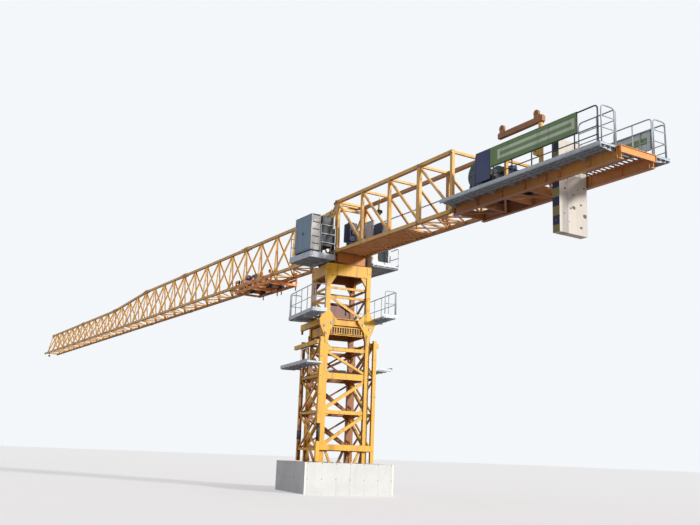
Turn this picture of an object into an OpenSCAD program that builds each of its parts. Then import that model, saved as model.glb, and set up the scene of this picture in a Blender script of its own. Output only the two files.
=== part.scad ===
// Flat-top tower crane on its climbing cage, half real size.
// Millimetres. Z up from the ground, X along the jib. The tower is turned under the jib:
// inside in_tower() the front is -X and the left side is +Y.

/* [Part] */
// Which node to draw

/* [Pit and base] */
// Outside width of the concrete pit box
pit_width = 1970; // [1800:2200]
// Height of the pit walls above ground
pit_height = 635; // [500:800]
// Thickness of a pit wall
pit_wall = 100; // [80:140]
// Thickness of the foundation inside the walls
plinth_height = 150; // [100:300]

/* [Mast] */
// Turn of the tower under the jib, degrees
tower_turn = -10; // [-30:30]
// Half the spacing of the mast's legs
mast_half = 484; // [440:520]
// Side of a mast leg
leg = 100; // [80:120]
// Height of the mast's lowest cross beam
ring_z = 940; // [920:980]
// Top of the mast
mast_top = 3270; // [3200:3300]

/* [Climbing cage] */
// Clear space between a mast leg and a cage post
cage_gap = 44; // [30:60]
// Side of a cage post
cage_post = 76; // [60:84]
// Foot of the cage's posts
cage_foot = 650; // [600:700]
// Top of the cage's posts
cage_top = 3262; // [3200:3265]
// Height of one panel of the cage's bracing
cage_panel = 765; // [740:780]
// Deck height of the platform on the cage
mid_deck_z = 2700; // [2600:2800]
// Outer edge of the left deck of that platform
mid_deck_left = 1000; // [900:1100]
// Outer edge of its right deck
mid_deck_right = 1200; // [900:1300]
// Reach of the climbing beams behind the mast
climb_reach = 975; // [800:1200]

/* [Turntable support] */
// Half the spacing of the support's legs
support_half = 470; // [450:490]
// Side of a support leg
support_leg = 100; // [90:110]
// Top of the support
support_top = 4915; // [4900:4930]
// Depth of the support's top beams
top_beam = 255; // [220:300]
// Reach of a leg's flared foot to the outside
flare_out = 135; // [100:160]
// Reach of a leg's flared foot to the inside
flare_in = 180; // [140:220]
// Height of the widest place of the flare
flare_z = 3665; // [3640:3700]
// Deck height of the platform around the support
service_deck_z = 3775; // [3700:3850]
// Outer edge of the platform around the support
service_deck_half = 975; // [900:1100]
// Height of the service platform's railing over its deck
rail_height = 570; // [500:600]

/* [Slewing part] */
// Gap between the fixed and the turning ring
ring_gap = 5; // [5:10]
// Height of a slewing ring half
ring_height = 20; // [15:30]
// Outside radius of the slewing ring
ring_radius = 450; // [430:470]
// Length of the turntable box along the jib
turntable_length = 850; // [800:900]
// Top of the cabinet platform
cabinet_deck_z = 5100; // [5080:5120]
// Outer edge of the cabinet platform
cabinet_deck_out = 1030; // [1000:1080]
// Top of the cab's platform
cab_deck_z = 5000; // [4990:5020]
// Outer edge of the cab's platform
cab_deck_out = 1100; // [1080:1150]
// Width of the cab
cab_width = 510; // [460:540]
// Height of the cab
cab_height = 895; // [850:950]

/* [Head and counter-jib] */
// Height of the bottom chords' middle
chord_low_z = 5218; // [5210:5230]
// Height of the top chords' middle
chord_high_z = 6363; // [6300:6400]
// Half the spacing of the truss sides
truss_half = 360; // [340:380]
// Side of a truss chord
chord = 70; // [60:80]
// Place of the truss's first upright along X
truss_start = -352; // [-380:-330]
// Length of a truss bay
truss_bay = 1031; // [1000:1060]
// Height of the counter-jib girders' top
girder_top = 5325; // [5300:5340]
// End of the counter-jib along X
counter_end = -8416; // [-8500:-8300]
// Depth of a counter-jib girder
girder_depth = 205; // [180:240]
// Width of a counter-jib girder
girder_width = 80; // [70:90]
// Outer edge of the counter-jib's walkways
walk_half = 705; // [650:760]
// Height of the counter-jib's railings
counter_rail = 600; // [550:620]
// Height of the two name boards
board_height = 338; // [300:350]

/* [Winch, derrick and ballast] */
// Radius of the winch drum's barrel
barrel = 150; // [120:180]
// Radius of the drum's flanges
flange = 250; // [230:270]
// Height of the derrick post over the girder
derrick_height = 880; // [800:1000]
// Length of the derrick's beam
derrick_reach = 1010; // [900:1200]
// Radius of the derrick's sheaves
derrick_sheave = 58; // [40:70]
// Thickness of the ballast block along the jib
ballast_thick = 150; // [120:200]
// Height of the ballast block
ballast_height = 1525; // [1400:1600]

/* [Jib] */
// Start of the jib along X
jib_start = 475; // [470:490]
// Length of a jib bay
jib_bay = 962; // [950:970]
// Half the spacing of the jib's bottom chords
jib_half = 303; // [290:315]
// Side of a jib chord
jib_chord = 66; // [60:70]
// Height of the outer jib's top chord over the bottom chords
outer_rise = 910; // [800:1000]

/* [Trolley] */
// Middle of the trolley along X
trolley_x = 3950; // [3600:5000]
// Length of the trolley
trolley_length = 2200; // [2000:2400]
// Depth of the trolley's frame under the middle of the jib's bottom chords
trolley_depth = 230; // [200:330]
// Radius of a trolley wheel
trolley_wheel = 60; // [50:70]
// Running clearance of the trolley's wheels
wheel_gap = 0.5; // [0.3:5]

/* [Hidden] */
seat = 0.3;
pin_gap = 0.3;
leg_out = mast_half + leg / 2;
leg_in = mast_half - leg / 2;
cage_half = leg_out + cage_gap + cage_post / 2;
cage_out = cage_half + cage_post / 2;
cage_in = cage_half - cage_post / 2;
support_out = support_half + support_leg / 2;
support_in = support_half - support_leg / 2;
box_bottom = support_top + 2 * ring_height + ring_gap;
box_top = chord_low_z - chord / 2 - seat;
jib_rise = chord_high_z - chord_low_z;
truss_end = truss_start - 4 * truss_bay;
truss_in = truss_half - chord / 2 - seat;
truss_out = truss_half + chord / 2 + seat;
deck_low = chord_low_z + chord / 2;
girder_y = truss_half - 15;
girder_out = girder_y + girder_width / 2;
girder_in = girder_y - girder_width / 2;
girder_start = truss_end - chord / 2 - seat;
girder_end = counter_end + 30;
girder_joints = [-4560, -5200, -5840, -6400, -6880, -7180, -7800, -8330];
walk_start = truss_end - 74;
left_walk_end = counter_end + 90;
right_walk_end = counter_end + 10;
left_board = [-7890, -5932];
right_board = [-8070, -6110];
control_panel = [-5930, -5565];
winch_x = -5030;
winch_z = girder_top + 475;
derrick_x = -6760;
ballast_x = -7030;
mast_levels = [ring_z, 1685, 2450, 3025];
mast_depths = [75, 75, 130, 75];
cage_levels = [for (i = [0 : 3]) 900 + i * cage_panel];
floor_end = truss_start - 2.5 * truss_bay;
floor_low = box_top + 3 * seat;
floor_rib = 40;
floor_top = floor_low + floor_rib + 12;

yellow = [0.93, 0.66, 0.1];
grey = [0.62, 0.64, 0.66];
concrete = [0.8, 0.79, 0.76];
blue = [0.12, 0.17, 0.3];
orange = [0.9, 0.42, 0.12];

// A bar with a few flat sides from one point to another
module bar(from, to, side, sides = 4) {
  run = to - from;
  flat = norm([run[0], run[1]]);
  translate(from)
    rotate([0, atan2(flat, run[2]), atan2(run[1], run[0])])
      rotate([0, 0, 180 / sides])
        cylinder(h = norm(run), r = side / 2 / cos(180 / sides), $fn = sides);
}

// A flat bar in the XZ plane, from and to given as [x, z]
module flat_bar(from, to, width, thick) {
  run = to - from;
  translate([from[0], 0, from[1]])
    rotate([0, -atan2(run[1], run[0]), 0])
      translate([0, -thick / 2, -width / 2])
        cube([norm(run), thick, width]);
}

// A plate in the XZ plane from its outline, with its middle at y = 0
module plate(points, thick) {
  translate([0, thick / 2, 0])
    rotate([90, 0, 0])
      linear_extrude(thick)
        polygon(points);
}

// A block given by its low and high corners
module block(low, high) {
  translate(low)
    cube(high - low);
}

module both_ways() {
  children();
  mirror([1, 0, 0])
    children();
}

module both_sides() {
  children();
  mirror([0, 1, 0])
    children();
}

module in_tower() {
  rotate([0, 0, tower_turn])
    children();
}

module at_corners(half) {
  for (x = [-half, half])
    for (y = [-half, half])
      translate([x, y, 0])
        children();
}

// Puts a side drawn in the XZ plane, inside towards +Y, on the tower's side at that turn
module on_side(turn, distance) {
  rotate([0, 0, turn])
    translate([0, -distance, 0])
      children();
}

// Pit and foundation

module foundation_plinth() {
  half = pit_width / 2 - pit_wall - seat;
  color(concrete)
    in_tower()
      block([-half, -half, 0], [half, half, plinth_height]);
}

module pit_walls() {
  half = pit_width / 2;
  color(concrete)
    in_tower() {
      both_ways()
        block([-half, -half, 0], [pit_wall - half, half, pit_height]);
      both_sides()
        block([pit_wall - half + seat, -half, 0], [half - pit_wall - seat, pit_wall - half, pit_height]);
    }
}

// Mast

module mast_legs() {
  color(yellow)
    in_tower()
      at_corners(mast_half)
        block([-leg / 2, -leg / 2, plinth_height + seat], [leg / 2, leg / 2, mast_top]);
}

// One welded side of the mast between its legs: cross beams, corner plates and diagonals
module mast_bracing(turn) {
  inner = leg_in - seat;
  color(yellow)
    in_tower()
      on_side(turn, mast_half)
        intersection() {
          union() {
            for (i = [0 : 3])
              block([-mast_half, -30, mast_levels[i] - mast_depths[i] / 2],
                    [mast_half, 30, mast_levels[i] + mast_depths[i] / 2]);
            for (z = mast_levels)
              both_ways()
                plate([[inner + 5, z - 125], [inner + 5, z + 125], [inner - 120, z + 20],
                       [inner - 120, z - 20]], 16);
            flat_bar([-mast_half, mast_levels[0] + 40], [mast_half, mast_levels[1] - 40], 66, 50);
            flat_bar([-mast_half, mast_levels[1] + 40], [mast_half, mast_levels[2] - 60], 66, 50);
            flat_bar([-mast_half, mast_levels[3] - 40], [mast_half, mast_levels[2] + 60], 50, 50);
          }
          block([-inner, -100, mast_levels[0] - mast_depths[0] / 2], [inner, 100, mast_top]);
        }
}

// Struts from the lowest cross beam down to the foundation
module base_struts() {
  low = plinth_height + seat;
  high = ring_z - mast_depths[0] / 2 - seat;
  spread = 0.4255 * (high - low);
  foot = leg_in - 40 - spread;
  color(yellow)
    in_tower()
      for (turn = [0, 90, 180, 270])
        on_side(turn, mast_half)
          intersection() {
            both_ways()
              flat_bar([foot - 9, low - 20], [foot + spread + 9, high + 20], 50, 40);
            block([-leg_in, -50, low], [leg_in, 50, high]);
          }
}

// Climbing cage

module cage_posts() {
  color(yellow)
    in_tower() {
      for (place = [[1, 1], [1, -1], [-1, -1]])
        translate([place[0] * cage_half, place[1] * cage_half, 0])
          block([-cage_post / 2, -cage_post / 2, cage_foot], [cage_post / 2, cage_post / 2, cage_top]);
      translate([-cage_half, cage_half, 0]) {
        block([-cage_post / 2, -cage_post / 2, cage_foot], [cage_post / 2, cage_post / 2, 1065]);
        block([-cage_post / 2, -cage_post / 2, 1435], [cage_post / 2, cage_post / 2, cage_top]);
      }
    }
}

// One side of the cage, with the shoes that guide it on the mast's legs
module cage_bracing(turn) {
  inner = cage_in - seat;
  shoe = cage_half - leg_out - seat;
  color(yellow)
    in_tower()
      on_side(turn, cage_half)
        intersection() {
          union() {
            for (z = cage_levels)
              block([-cage_half, -25, z - 25], [cage_half, 25, z + 25]);
            for (i = [0 : 2]) {
              flat_bar([-cage_half, cage_levels[i]], [cage_half, cage_levels[i + 1]], 36, 30);
              flat_bar([cage_half, cage_levels[i]], [-cage_half, cage_levels[i + 1]], 36, 30);
            }
            for (i = [1, 3])
              both_ways()
                block([mast_half - 35, -20, cage_levels[i] - 60], [mast_half + 35, shoe, cage_levels[i] + 20]);
          }
          block([-inner, -100, 0], [inner, 200, cage_top - seat]);
        }
}

module cage_front_beam() {
  inner = cage_in - seat;
  color(yellow)
    in_tower()
      block([-cage_half - 35, -inner, ring_z - 50], [-cage_half + 35, inner, ring_z + 70]);
}

module deck_rail(from, to, base, height) {
  block([from[0], from[1], base + height - 22], [to[0] + 22, to[1] + 22, base + height]);
  block(concat(from, [base]), [from[0] + 16, from[1] + 16, base + height - 10]);
  block([to[0] + 6, to[1] + 6, base], [to[0] + 22, to[1] + 22, base + height - 10]);
}

module cage_platform() {
  inner = cage_out + seat;
  low = mid_deck_z - 30;
  color(grey)
    in_tower() {
      block([-850, inner, low], [1050, mid_deck_left, mid_deck_z]);
      block([-300, -mid_deck_right, low], [1050, -inner, mid_deck_z]);
      block([inner, seat - inner, low], [1050, inner - seat, mid_deck_z]);
      deck_rail([-820, mid_deck_left - 60], [-330, mid_deck_left - 60], mid_deck_z + seat, 285);
    }
}

// Long beams that the next mast piece is drawn in on
module climbing_beams() {
  color(yellow)
    in_tower()
      both_sides() {
        block([-cage_half, cage_out + seat, 3110], [climb_reach, cage_out + 60, 3200]);
        union() {
          block([seat - support_in, support_out + seat, 3560], [climb_reach, support_out + 65, 3700]);
          block([climb_reach - 60, support_out + 12, 3480], [climb_reach - 15, support_out + 53, 3570]);
        }
      }
}

// Turntable support

// A leg of the support. Front legs flare to both sides at their feet, rear legs to the inside
module support_leg(out) {
  half = support_leg / 2;
  low = mast_top + seat;
  union() {
    block([-half, -half, low], [half, half, support_top]);
    translate([-20, 0, 0])
      rotate([0, 0, 90])
        plate([[-half - flare_in, flare_z], [-half - 20, flare_z - 240], [-half + 5, low],
               [half - 5, low], [half + out - 20, flare_z - 120], [half + out, flare_z],
               [half - 5, flare_z + 205], [5 - half, flare_z + 205]], 60);
  }
}

module support_legs() {
  color(yellow)
    in_tower() {
      both_sides()
        translate([-support_half, support_half, 0])
          support_leg(flare_out);
      both_sides()
        translate([support_half, support_half, 0])
          mirror([1, 0, 0])
            support_leg(0);
    }
}

module support_beams() {
  inner = support_in - seat;
  low = support_top - top_beam;
  color(yellow)
    in_tower() {
      for (turn = [0, 90, 180, 270])
        on_side(turn, support_half)
          union() {
            block([-inner, -support_leg / 2, low], [inner, support_leg / 2, support_top]);
            both_ways()
              plate([[inner, low + 5], [inner, low - 185], [inner - 20, low - 185],
                     [inner - 140, low + 5]], 60);
          }
      foot_beams();
    }
}

// The two rings of box beams at the legs' feet
module foot_beams() {
  inner = support_in - seat;
  for (low_high = [[3340, 3530, 40], [3552, 3700, 70]]) {
    for (turn = [-90, 90])
      on_side(turn, support_half)
        block([-inner, 10 + seat, low_high[0]], [inner, low_high[2], low_high[1]]);
    for (turn = [0, 180])
      on_side(turn, support_half)
        block([-inner, 20 - low_high[2], low_high[0]], [inner, 10, low_high[1]]);
  }
}

module support_bracing() {
  inner = support_in - seat;
  color(yellow)
    in_tower()
      for (turn = [0, 90, 180, 270])
        on_side(turn, support_half - 25)
          intersection() {
            union() {
              for (z = [4180, 4385])
                block([-inner, -14, z - 25], [inner, 14, z + 25]);
              flat_bar([-support_half, 4215], [support_half, 3680], 56, 24);
            }
            block([-inner, -50, 3700 + seat], [inner, 50, 4600]);
          }
}

module hydraulic_unit() {
  color([0.6, 0.42, 0.36])
    in_tower()
      union() {
        block([-410, -60, 3700 + seat], [-150, 390, 3985]);
        block([-390, -20, 3980], [-190, 120, 4040]);
      }
}

module service_platform() {
  inner = support_out + flare_out + seat;
  low = service_deck_z - 30;
  color(grey)
    in_tower() {
      both_sides()
        union() {
          block([-service_deck_half, inner, low], [700, service_deck_half, service_deck_z]);
          for (x = [-300, 400])
            block([x - 25, support_out + 65 + seat, low - 50], [x + 25, service_deck_half - 40, low + 5]);
          block([-430, support_out + seat, low], [430, inner + 5, service_deck_z]);
        }
      block([support_out + seat, -inner + seat, low], [700, inner - seat, service_deck_z]);
    }
}

// A straight railing along X from 0 to run, standing on its own zero height
module railing_run(run, height, posts, mids = [0.5]) {
  for (i = [0 : posts - 1])
    translate([20 + i * (run - 40) / (posts - 1), 0, 0])
      block([-9, -9, 0], [9, 9, height - 10]);
  block([0, -11, height - 22], [run, 11, height]);
  for (share = mids)
    block([0, -7, height * share - 7], [run, 7, height * share + 7]);
}

module service_railing() {
  out = service_deck_half - 15;
  depth = service_deck_half + 700 - 30;
  base = service_deck_z + seat;
  front_run = service_deck_half - support_out - flare_out - 40;
  color(grey)
    in_tower()
      both_sides() {
        translate([-out, out, base])
          railing_run(depth, rail_height, 5);
        translate([-out, out - 12 - front_run, base])
          rotate([0, 0, 90])
            railing_run(front_run, rail_height, 2);
        translate([depth - out, out - 12 - front_run, base])
          rotate([0, 0, 90])
            railing_run(front_run, rail_height, 2);
      }
}

// Ring with an inner race that the turntable runs on
module fixed_ring() {
  color(grey)
    difference() {
      union() {
        translate([0, 0, support_top + seat])
          cylinder(h = ring_height - seat, r = ring_radius, $fn = 96);
        translate([0, 0, support_top + seat])
          cylinder(h = ring_height + ring_gap - seat - pin_gap, r = ring_radius - 25, $fn = 96);
      }
      translate([0, 0, support_top - 1])
        cylinder(h = ring_height + ring_gap + 2, r = ring_radius - 60, $fn = 96);
    }
}

// Slewing part

module turntable() {
  half = truss_half - seat;
  color(yellow)
    union() {
      translate([0, 0, box_bottom - ring_height])
        cylinder(h = ring_height + 1, r = ring_radius, $fn = 96);
      block([-turntable_length / 2, 40 - half, box_bottom], [turntable_length / 2, half - 40, box_top]);
      block([-turntable_length / 2 - 20, -half, box_top - 30], [turntable_length / 2 + 20, half, box_top]);
      block([-turntable_length / 2 - 20, -half, box_bottom], [turntable_length / 2 + 20, half, box_bottom + 25]);
      for (x = [-turntable_length / 2, 0, turntable_length / 2])
        block([x - 10, -half, box_bottom + 10], [x + 10, half, box_top - 10]);
    }
}

module slewing_drives() {
  base = floor_top + seat;
  color(blue) {
    for (x = [-600, 150])
      union() {
        translate([x, 160, base])
          cylinder(h = 190, r = 85, $fn = 48);
        block([x - 130, 70, base + 180], [x + 130, 250, base + 590]);
      }
    union() {
      block([-1350, -290, base], [-1080, -180, base + 60]);
      block([-1400, -300, base + 50], [-1050, -160, base + 530]);
    }
  }
}

// One side of the truss: chords, uprights and single diagonals
module truss_side(y) {
  color(yellow)
    translate([0, y, 0])
      union() {
        block([truss_end - 35, -chord / 2, chord_low_z - chord / 2],
              [jib_start - seat, chord / 2, deck_low]);
        block([truss_end - 35, -chord / 2, chord_high_z - chord / 2],
              [truss_start + 60, chord / 2, chord_high_z + chord / 2]);
        for (i = [0 : 4]) {
          x = truss_start - i * truss_bay;
          half = i == 0 ? 60 : i == 4 ? 35 : i == 3 ? 48 : 30;
          block([x - half, -30, chord_low_z], [x + half, 30, chord_high_z]);
          plate([[max(x - half - 70, truss_end - 35), deck_low - 5], [x + half + 70, deck_low - 5],
                 [x + half, deck_low + 70], [x - half, deck_low + 70]], 16);
        }
        for (i = [0 : 3])
          flat_bar([truss_start - i * truss_bay, chord_high_z - 20],
                   [truss_start - (i + 1) * truss_bay, chord_low_z + 40], 44, 40);
        plate([[truss_start + 40, chord_high_z - 30], [jib_start - 20, deck_low - 10],
               [jib_start - 90, deck_low - 10], [truss_start + 40, chord_high_z - 120]], 36);
      }
}

// Ties from the head's two top corners to the jib's top chord
module jib_links() {
  reach = jib_start - 45;
  start = truss_start + 60 + seat;
  color(yellow)
    union() {
      for (y = [-1, 1])
        intersection() {
          bar([start - 60, y * (truss_half + 10), chord_high_z], [reach, y * 18, chord_high_z + 22], 60);
          block([start, -500, chord_high_z - 100], [reach + 30, 500, chord_high_z + 100]);
        }
      block([reach - 90, -60, chord_high_z - 45], [jib_start - seat, 60, chord_high_z + 60]);
      block([start + 90, 40 - truss_half, chord_high_z - 20], [start + 130, truss_half - 40, chord_high_z + 20]);
    }
}

module truss_handrails() {
  y = 30 + seat - truss_half;
  color(grey)
    for (z = [5560, 5840])
      block([truss_end - 30, y, z - 10], [truss_start + 55, y + 18, z + 10]);
}

module truss_top_bracing() {
  color(yellow) {
    for (i = [0 : 4])
      block([truss_start - i * truss_bay - 25, -truss_in, chord_high_z - 25],
            [truss_start - i * truss_bay + 25, truss_in, chord_high_z + 25]);
    block([truss_start - 20, 30 + seat - truss_half, chord_high_z - 180],
          [truss_start + 20, truss_half - 30 - seat, chord_high_z - 120]);
    union() {
      block([-1110, -truss_in, chord_high_z - 30], [-1080, -250, chord_high_z + 20]);
      block([-1075, -290, chord_high_z - 270], [-1055, -250, chord_high_z - 10]);
      block([-1110, -290, chord_high_z - 30], [-560, -250, chord_high_z - 5]);
    }
  }
}

// Plate floor on cross ribs and flats, and open bracing behind it
module truss_floor() {
  last = truss_end + 40;
  front = turntable_length / 2 + 20;
  step = truss_bay / 6;
  flats = floor((front - floor_end) / step / 3);
  color(yellow) {
    union() {
      block([floor_end, -truss_in, floor_top - 12], [front, truss_in, floor_top]);
      for (x = [floor_end + 6 : step : front - 6])
        block([x - 5, -truss_in, floor_low], [x + 5, truss_in, floor_top - 5]);
      intersection() {
        for (i = [0 : flats - 1])
          bar([floor_end + 3 * i * step, (i % 2 == 0 ? 1 : -1) * truss_in, floor_low + 14],
              [floor_end + 3 * (i + 1) * step, (i % 2 == 0 ? -1 : 1) * truss_in, floor_low + 14], 22);
        block([floor_end, -truss_in, floor_low], [front, truss_in, floor_top]);
      }
    }
    intersection() {
      union() {
        for (i = [0 : 3])
          block([floor_end - 40 - i * truss_bay / 2, -truss_in, chord_low_z - 20],
                [floor_end - 10 - i * truss_bay / 2, truss_in, chord_low_z + 20]);
        for (i = [0 : 2])
          for (s = [-1, 1])
            bar([floor_end - 25 - i * truss_bay / 2, s * truss_half, chord_low_z],
                [floor_end - 25 - (i + 1) * truss_bay / 2, -s * truss_half, chord_low_z], 26);
      }
      block([last, -truss_in, floor_low], [floor_end - seat, truss_in, floor_top + 100]);
    }
  }
}

// Counter-jib

// An I beam with stiffeners in its open sides
module girder(y_sign) {
  low = girder_top - girder_depth;
  half = girder_width / 2;
  color(yellow)
    translate([0, y_sign * girder_y, 0])
      union() {
        block([girder_end, -half, girder_top - 14], [girder_start, half, girder_top]);
        block([girder_end, -half, low], [girder_start, half, low + 14]);
        block([girder_end, -6, low + 10], [girder_start, 6, girder_top - 10]);
        for (x = girder_joints)
          block([x - 6, 4 - half, low + 10], [x + 6, half - 4, girder_top - 10]);
      }
}

module girder_cross_beams() {
  inner = girder_in + 4 - seat;
  low = girder_top - girder_depth + 20;
  color(yellow) {
    union() {
      for (i = [0 : 4])
        block([girder_joints[i] - 25, -inner, low], [girder_joints[i] + 25, inner, girder_top - 40]);
      intersection() {
        for (i = [0 : 3])
          bar([girder_joints[i], (i % 2 == 0 ? 1 : -1) * inner, low + 20],
              [girder_joints[i + 1], (i % 2 == 0 ? -1 : 1) * inner, low + 20], 34);
        block([girder_joints[4], -inner, low], [girder_joints[0], inner, girder_top]);
      }
    }
    for (i = [5, 6])
      block([girder_joints[i] - 30, -inner, low], [girder_joints[i] + 30, inner, girder_top - 40]);
    block([girder_end + 50, -inner, girder_top - 35], [girder_joints[5] - 60, inner, girder_top - 15]);
    difference() {
      block([counter_end, -girder_out, girder_top - 112], [girder_end - seat, girder_out, girder_top]);
      block([counter_end - 1, 10 - girder_out, girder_top - 98], [counter_end + 16, girder_out - 10, girder_top - 14]);
    }
  }
}

// Deck with the brackets that carry it on the girder. The right one reaches further back
module walkway(y_sign) {
  inner = girder_out + seat;
  walk_end = y_sign > 0 ? left_walk_end : right_walk_end;
  step = (walk_start - walk_end - 120) / 7;
  color(grey)
    mirror([0, y_sign < 0 ? 1 : 0, 0])
      union() {
        block([walk_end, inner, girder_top - 26], [walk_start, walk_half, girder_top]);
        block([walk_end, walk_half - 8, girder_top - 40], [walk_start, walk_half, girder_top + 20]);
        for (i = [0 : 7])
          translate([walk_end + 60 + i * step, 0, 0])
            rotate([0, 0, 90])
              plate([[inner, girder_top - 24], [walk_half - 30, girder_top - 24],
                     [walk_half - 30, girder_top - 45], [inner, girder_top - 88]], 20);
      }
}

module side_railing(y_sign, start, finish, posts) {
  color(grey)
    translate([finish, y_sign * (walk_half - 19), girder_top + seat])
      union()
        railing_run(start - finish, counter_rail, posts, [0.22, 0.44]);
}

// Rear railings on the girders, and across the walkways' rear ends
module inner_railings() {
  color(grey)
    for (side = [[1, left_walk_end], [-1, right_walk_end]])
      mirror([0, side[0] < 0 ? 1 : 0, 0])
        translate([side[1], girder_y, girder_top + seat]) {
          translate([10, 0, 0])
            railing_run(760, counter_rail, 3, [0.4, 0.7]);
          translate([25, 12, 0])
            rotate([0, 0, 90])
              railing_run(walk_half - girder_y - 45, counter_rail, 2, [0.4, 0.7]);
        }
}

module name_boards() {
  out = walk_half - 8 + seat;
  top = girder_top + counter_rail - 4;
  color(blue) {
    block([control_panel[0], out, girder_top + 60], [control_panel[1], out + 14, top]);
    block([left_board[0], out, top - board_height], [left_board[1], out + 14, top]);
    block([right_board[0], -out - 14, top - board_height], [right_board[1], -out, top]);
  }
}

// Winch

module winch_frame() {
  base = girder_top + seat;
  cheek = 262;
  color(blue)
    union() {
      both_sides()
        block([-5900, girder_in, base], [-4720, girder_out, base + 60]);
      block([-5900, -girder_in - 5, base + 40], [-4720, girder_in + 5, base + 60]);
      both_sides()
        translate([winch_x, cheek, 0])
          difference() {
            plate([[-230, base + 50], [230, base + 50], [70, winch_z + 70], [-70, winch_z + 70]], 26);
            translate([0, 20, winch_z])
              rotate([90, 0, 0])
                cylinder(h = 40, r = 30 + pin_gap, $fn = 48);
          }
      both_sides()
        block([-5850, 230, base + 50], [-5800, 280, winch_z + 60]);
      block([-5845, -280, winch_z + 15], [-5805, 280, winch_z + 55]);
    }
}

module winch_motor() {
  base = girder_top + 60 + 2 * seat;
  color(blue)
    union() {
      block([-5640, -260, base], [-5460, 60, base + 240]);
      translate([-5550, -330, base + 330])
        rotate([-90, 0, 0])
          cylinder(h = 420, r = 110, $fn = 64);
      translate([-5550, -345, base + 330])
        rotate([-90, 0, 0])
          cylinder(h = 20, r = 85, $fn = 64);
    }
}

module hoist_drum() {
  color([0.16, 0.34, 0.36])
    translate([winch_x, 0, winch_z])
      rotate([90, 0, 0])
        union() {
          translate([0, 0, -300])
            cylinder(h = 600, r = 30, $fn = 48);
          translate([0, 0, -225])
            cylinder(h = 450, r = barrel, $fn = 64);
          for (z = [-235, 215])
            translate([0, 0, z])
              cylinder(h = 20, r = flange, $fn = 96);
        }
}

// Ballast block with the steel lugs that carry it on both girders
module counterweight() {
  half = girder_in - 2;
  top = girder_top + 510;
  color(concrete)
    union() {
      block([ballast_x - ballast_thick / 2, -half, top - ballast_height],
            [ballast_x + ballast_thick / 2, half, top]);
      block([ballast_x - 30, -girder_out, girder_top + seat], [ballast_x + 30, girder_out, girder_top + 60]);
    }
}

// Derrick: a small crane on the left girder

module derrick_post() {
  base = girder_top + seat;
  high = girder_top + derrick_height;
  color(yellow)
    translate([derrick_x, girder_y, 0])
      union() {
        block([-60, -40, base], [60, 40, base + 20]);
        translate([0, 0, base + 10])
          cylinder(h = high - base - 10, r = 38, $fn = 48);
        translate([0, 0, high - 1])
          cylinder(h = 96, r = 22, $fn = 48);
        block([30, -35, base + 330], [70, 35, base + 470]);
        translate([95, 30, base + 400])
          rotate([90, 0, 0])
            cylinder(h = 60, r = 60, $fn = 48);
      }
}

module derrick_beam() {
  low = girder_top + derrick_height + seat;
  sheave_z = 127 + derrick_sheave;
  color(yellow)
    translate([derrick_x, girder_y, 0])
      difference() {
        union() {
          translate([0, 0, low])
            cylinder(h = 120, r = 55, $fn = 48);
          block([-70, -35, low + 8], [derrick_reach, 35, low + 102]);
          for (x = [90, derrick_reach - 80]) {
            for (s = [-1, 1])
              translate([x, s * 24, low])
                plate([[-50, 95], [50, 95], [22, sheave_z + 24], [-22, sheave_z + 24]], 10);
            translate([x, 22, low + sheave_z])
              rotate([90, 0, 0])
                cylinder(h = 44, r = derrick_sheave, $fn = 48);
          }
        }
        translate([0, 0, low - 1])
          cylinder(h = 96 + 2, r = 22 + pin_gap, $fn = 48);
      }
}

// Platforms, cabinets and cab of the slewing part

// A cabinet with louvred ends towards the jib and the counter-jib
module cabinet(low, high, slots) {
  step = (high[2] - low[2]) / slots;
  difference() {
    block(low, high);
    for (i = [0 : slots - 1])
      for (x = [low[0] - 1, high[0] - 17])
        block([x, low[1] + 30, low[2] + (i + 0.78) * step], [x + 18, high[1] - 30, low[2] + (i + 0.94) * step]);
  }
}

module electric_cabinets() {
  color([0.35, 0.42, 0.48]) {
    union() {
      cabinet([-355, 790, cabinet_deck_z + 75], [400, 1020, cabinet_deck_z + 885], 5);
      for (x = [-340, 330])
        block([x, 810, cabinet_deck_z + seat], [x + 60, 1000, cabinet_deck_z + 80]);
    }
    union() {
      cabinet([-340, 470, cabinet_deck_z + 200], [300, 740, cabinet_deck_z + 875], 4);
      for (x = [-330, 250])
        for (y = [480, 700])
          block([x, y, cabinet_deck_z + seat], [x + 40, y + 30, cabinet_deck_z + 205]);
    }
    block([-940, 50 - truss_half, floor_top + seat], [-600, 170 - truss_half, floor_top + 670]);
  }
}

module cabinet_platform() {
  inner = truss_out;
  low = cabinet_deck_z - 100;
  rail = cabinet_deck_z + 670;
  color(grey)
    union() {
      difference() {
        block([-375, inner, low], [600, cabinet_deck_out, cabinet_deck_z]);
        block([-365, inner + 60, low - 1], [590, cabinet_deck_out - 10, cabinet_deck_z - 12]);
      }
      for (x = [-40, 280])
        block([x, inner, low + 10], [x + 30, cabinet_deck_out - 5, cabinet_deck_z - 5]);
      for (x = [0, turntable_length / 2])
        block([x - 25, truss_half, low + 10], [x + 25, inner + 5, cabinet_deck_z - 40]);
      for (z = [rail, rail - 200, rail - 400])
        block([-375, inner + 12, z - 8], [-361, 785, z + 8]);
      for (y = [inner + 12, 770])
        block([-374, y, cabinet_deck_z - 5], [-362, y + 16, rail + 6]);
      for (z = [rail, rail - 200, rail - 400])
        block([576, inner + 12, z - 8], [590, cabinet_deck_out - 10, z + 8]);
      for (y = [inner + 12, 700, cabinet_deck_out - 26])
        block([577, y, cabinet_deck_z - 5], [589, y + 16, rail + 6]);
    }
}

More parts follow.
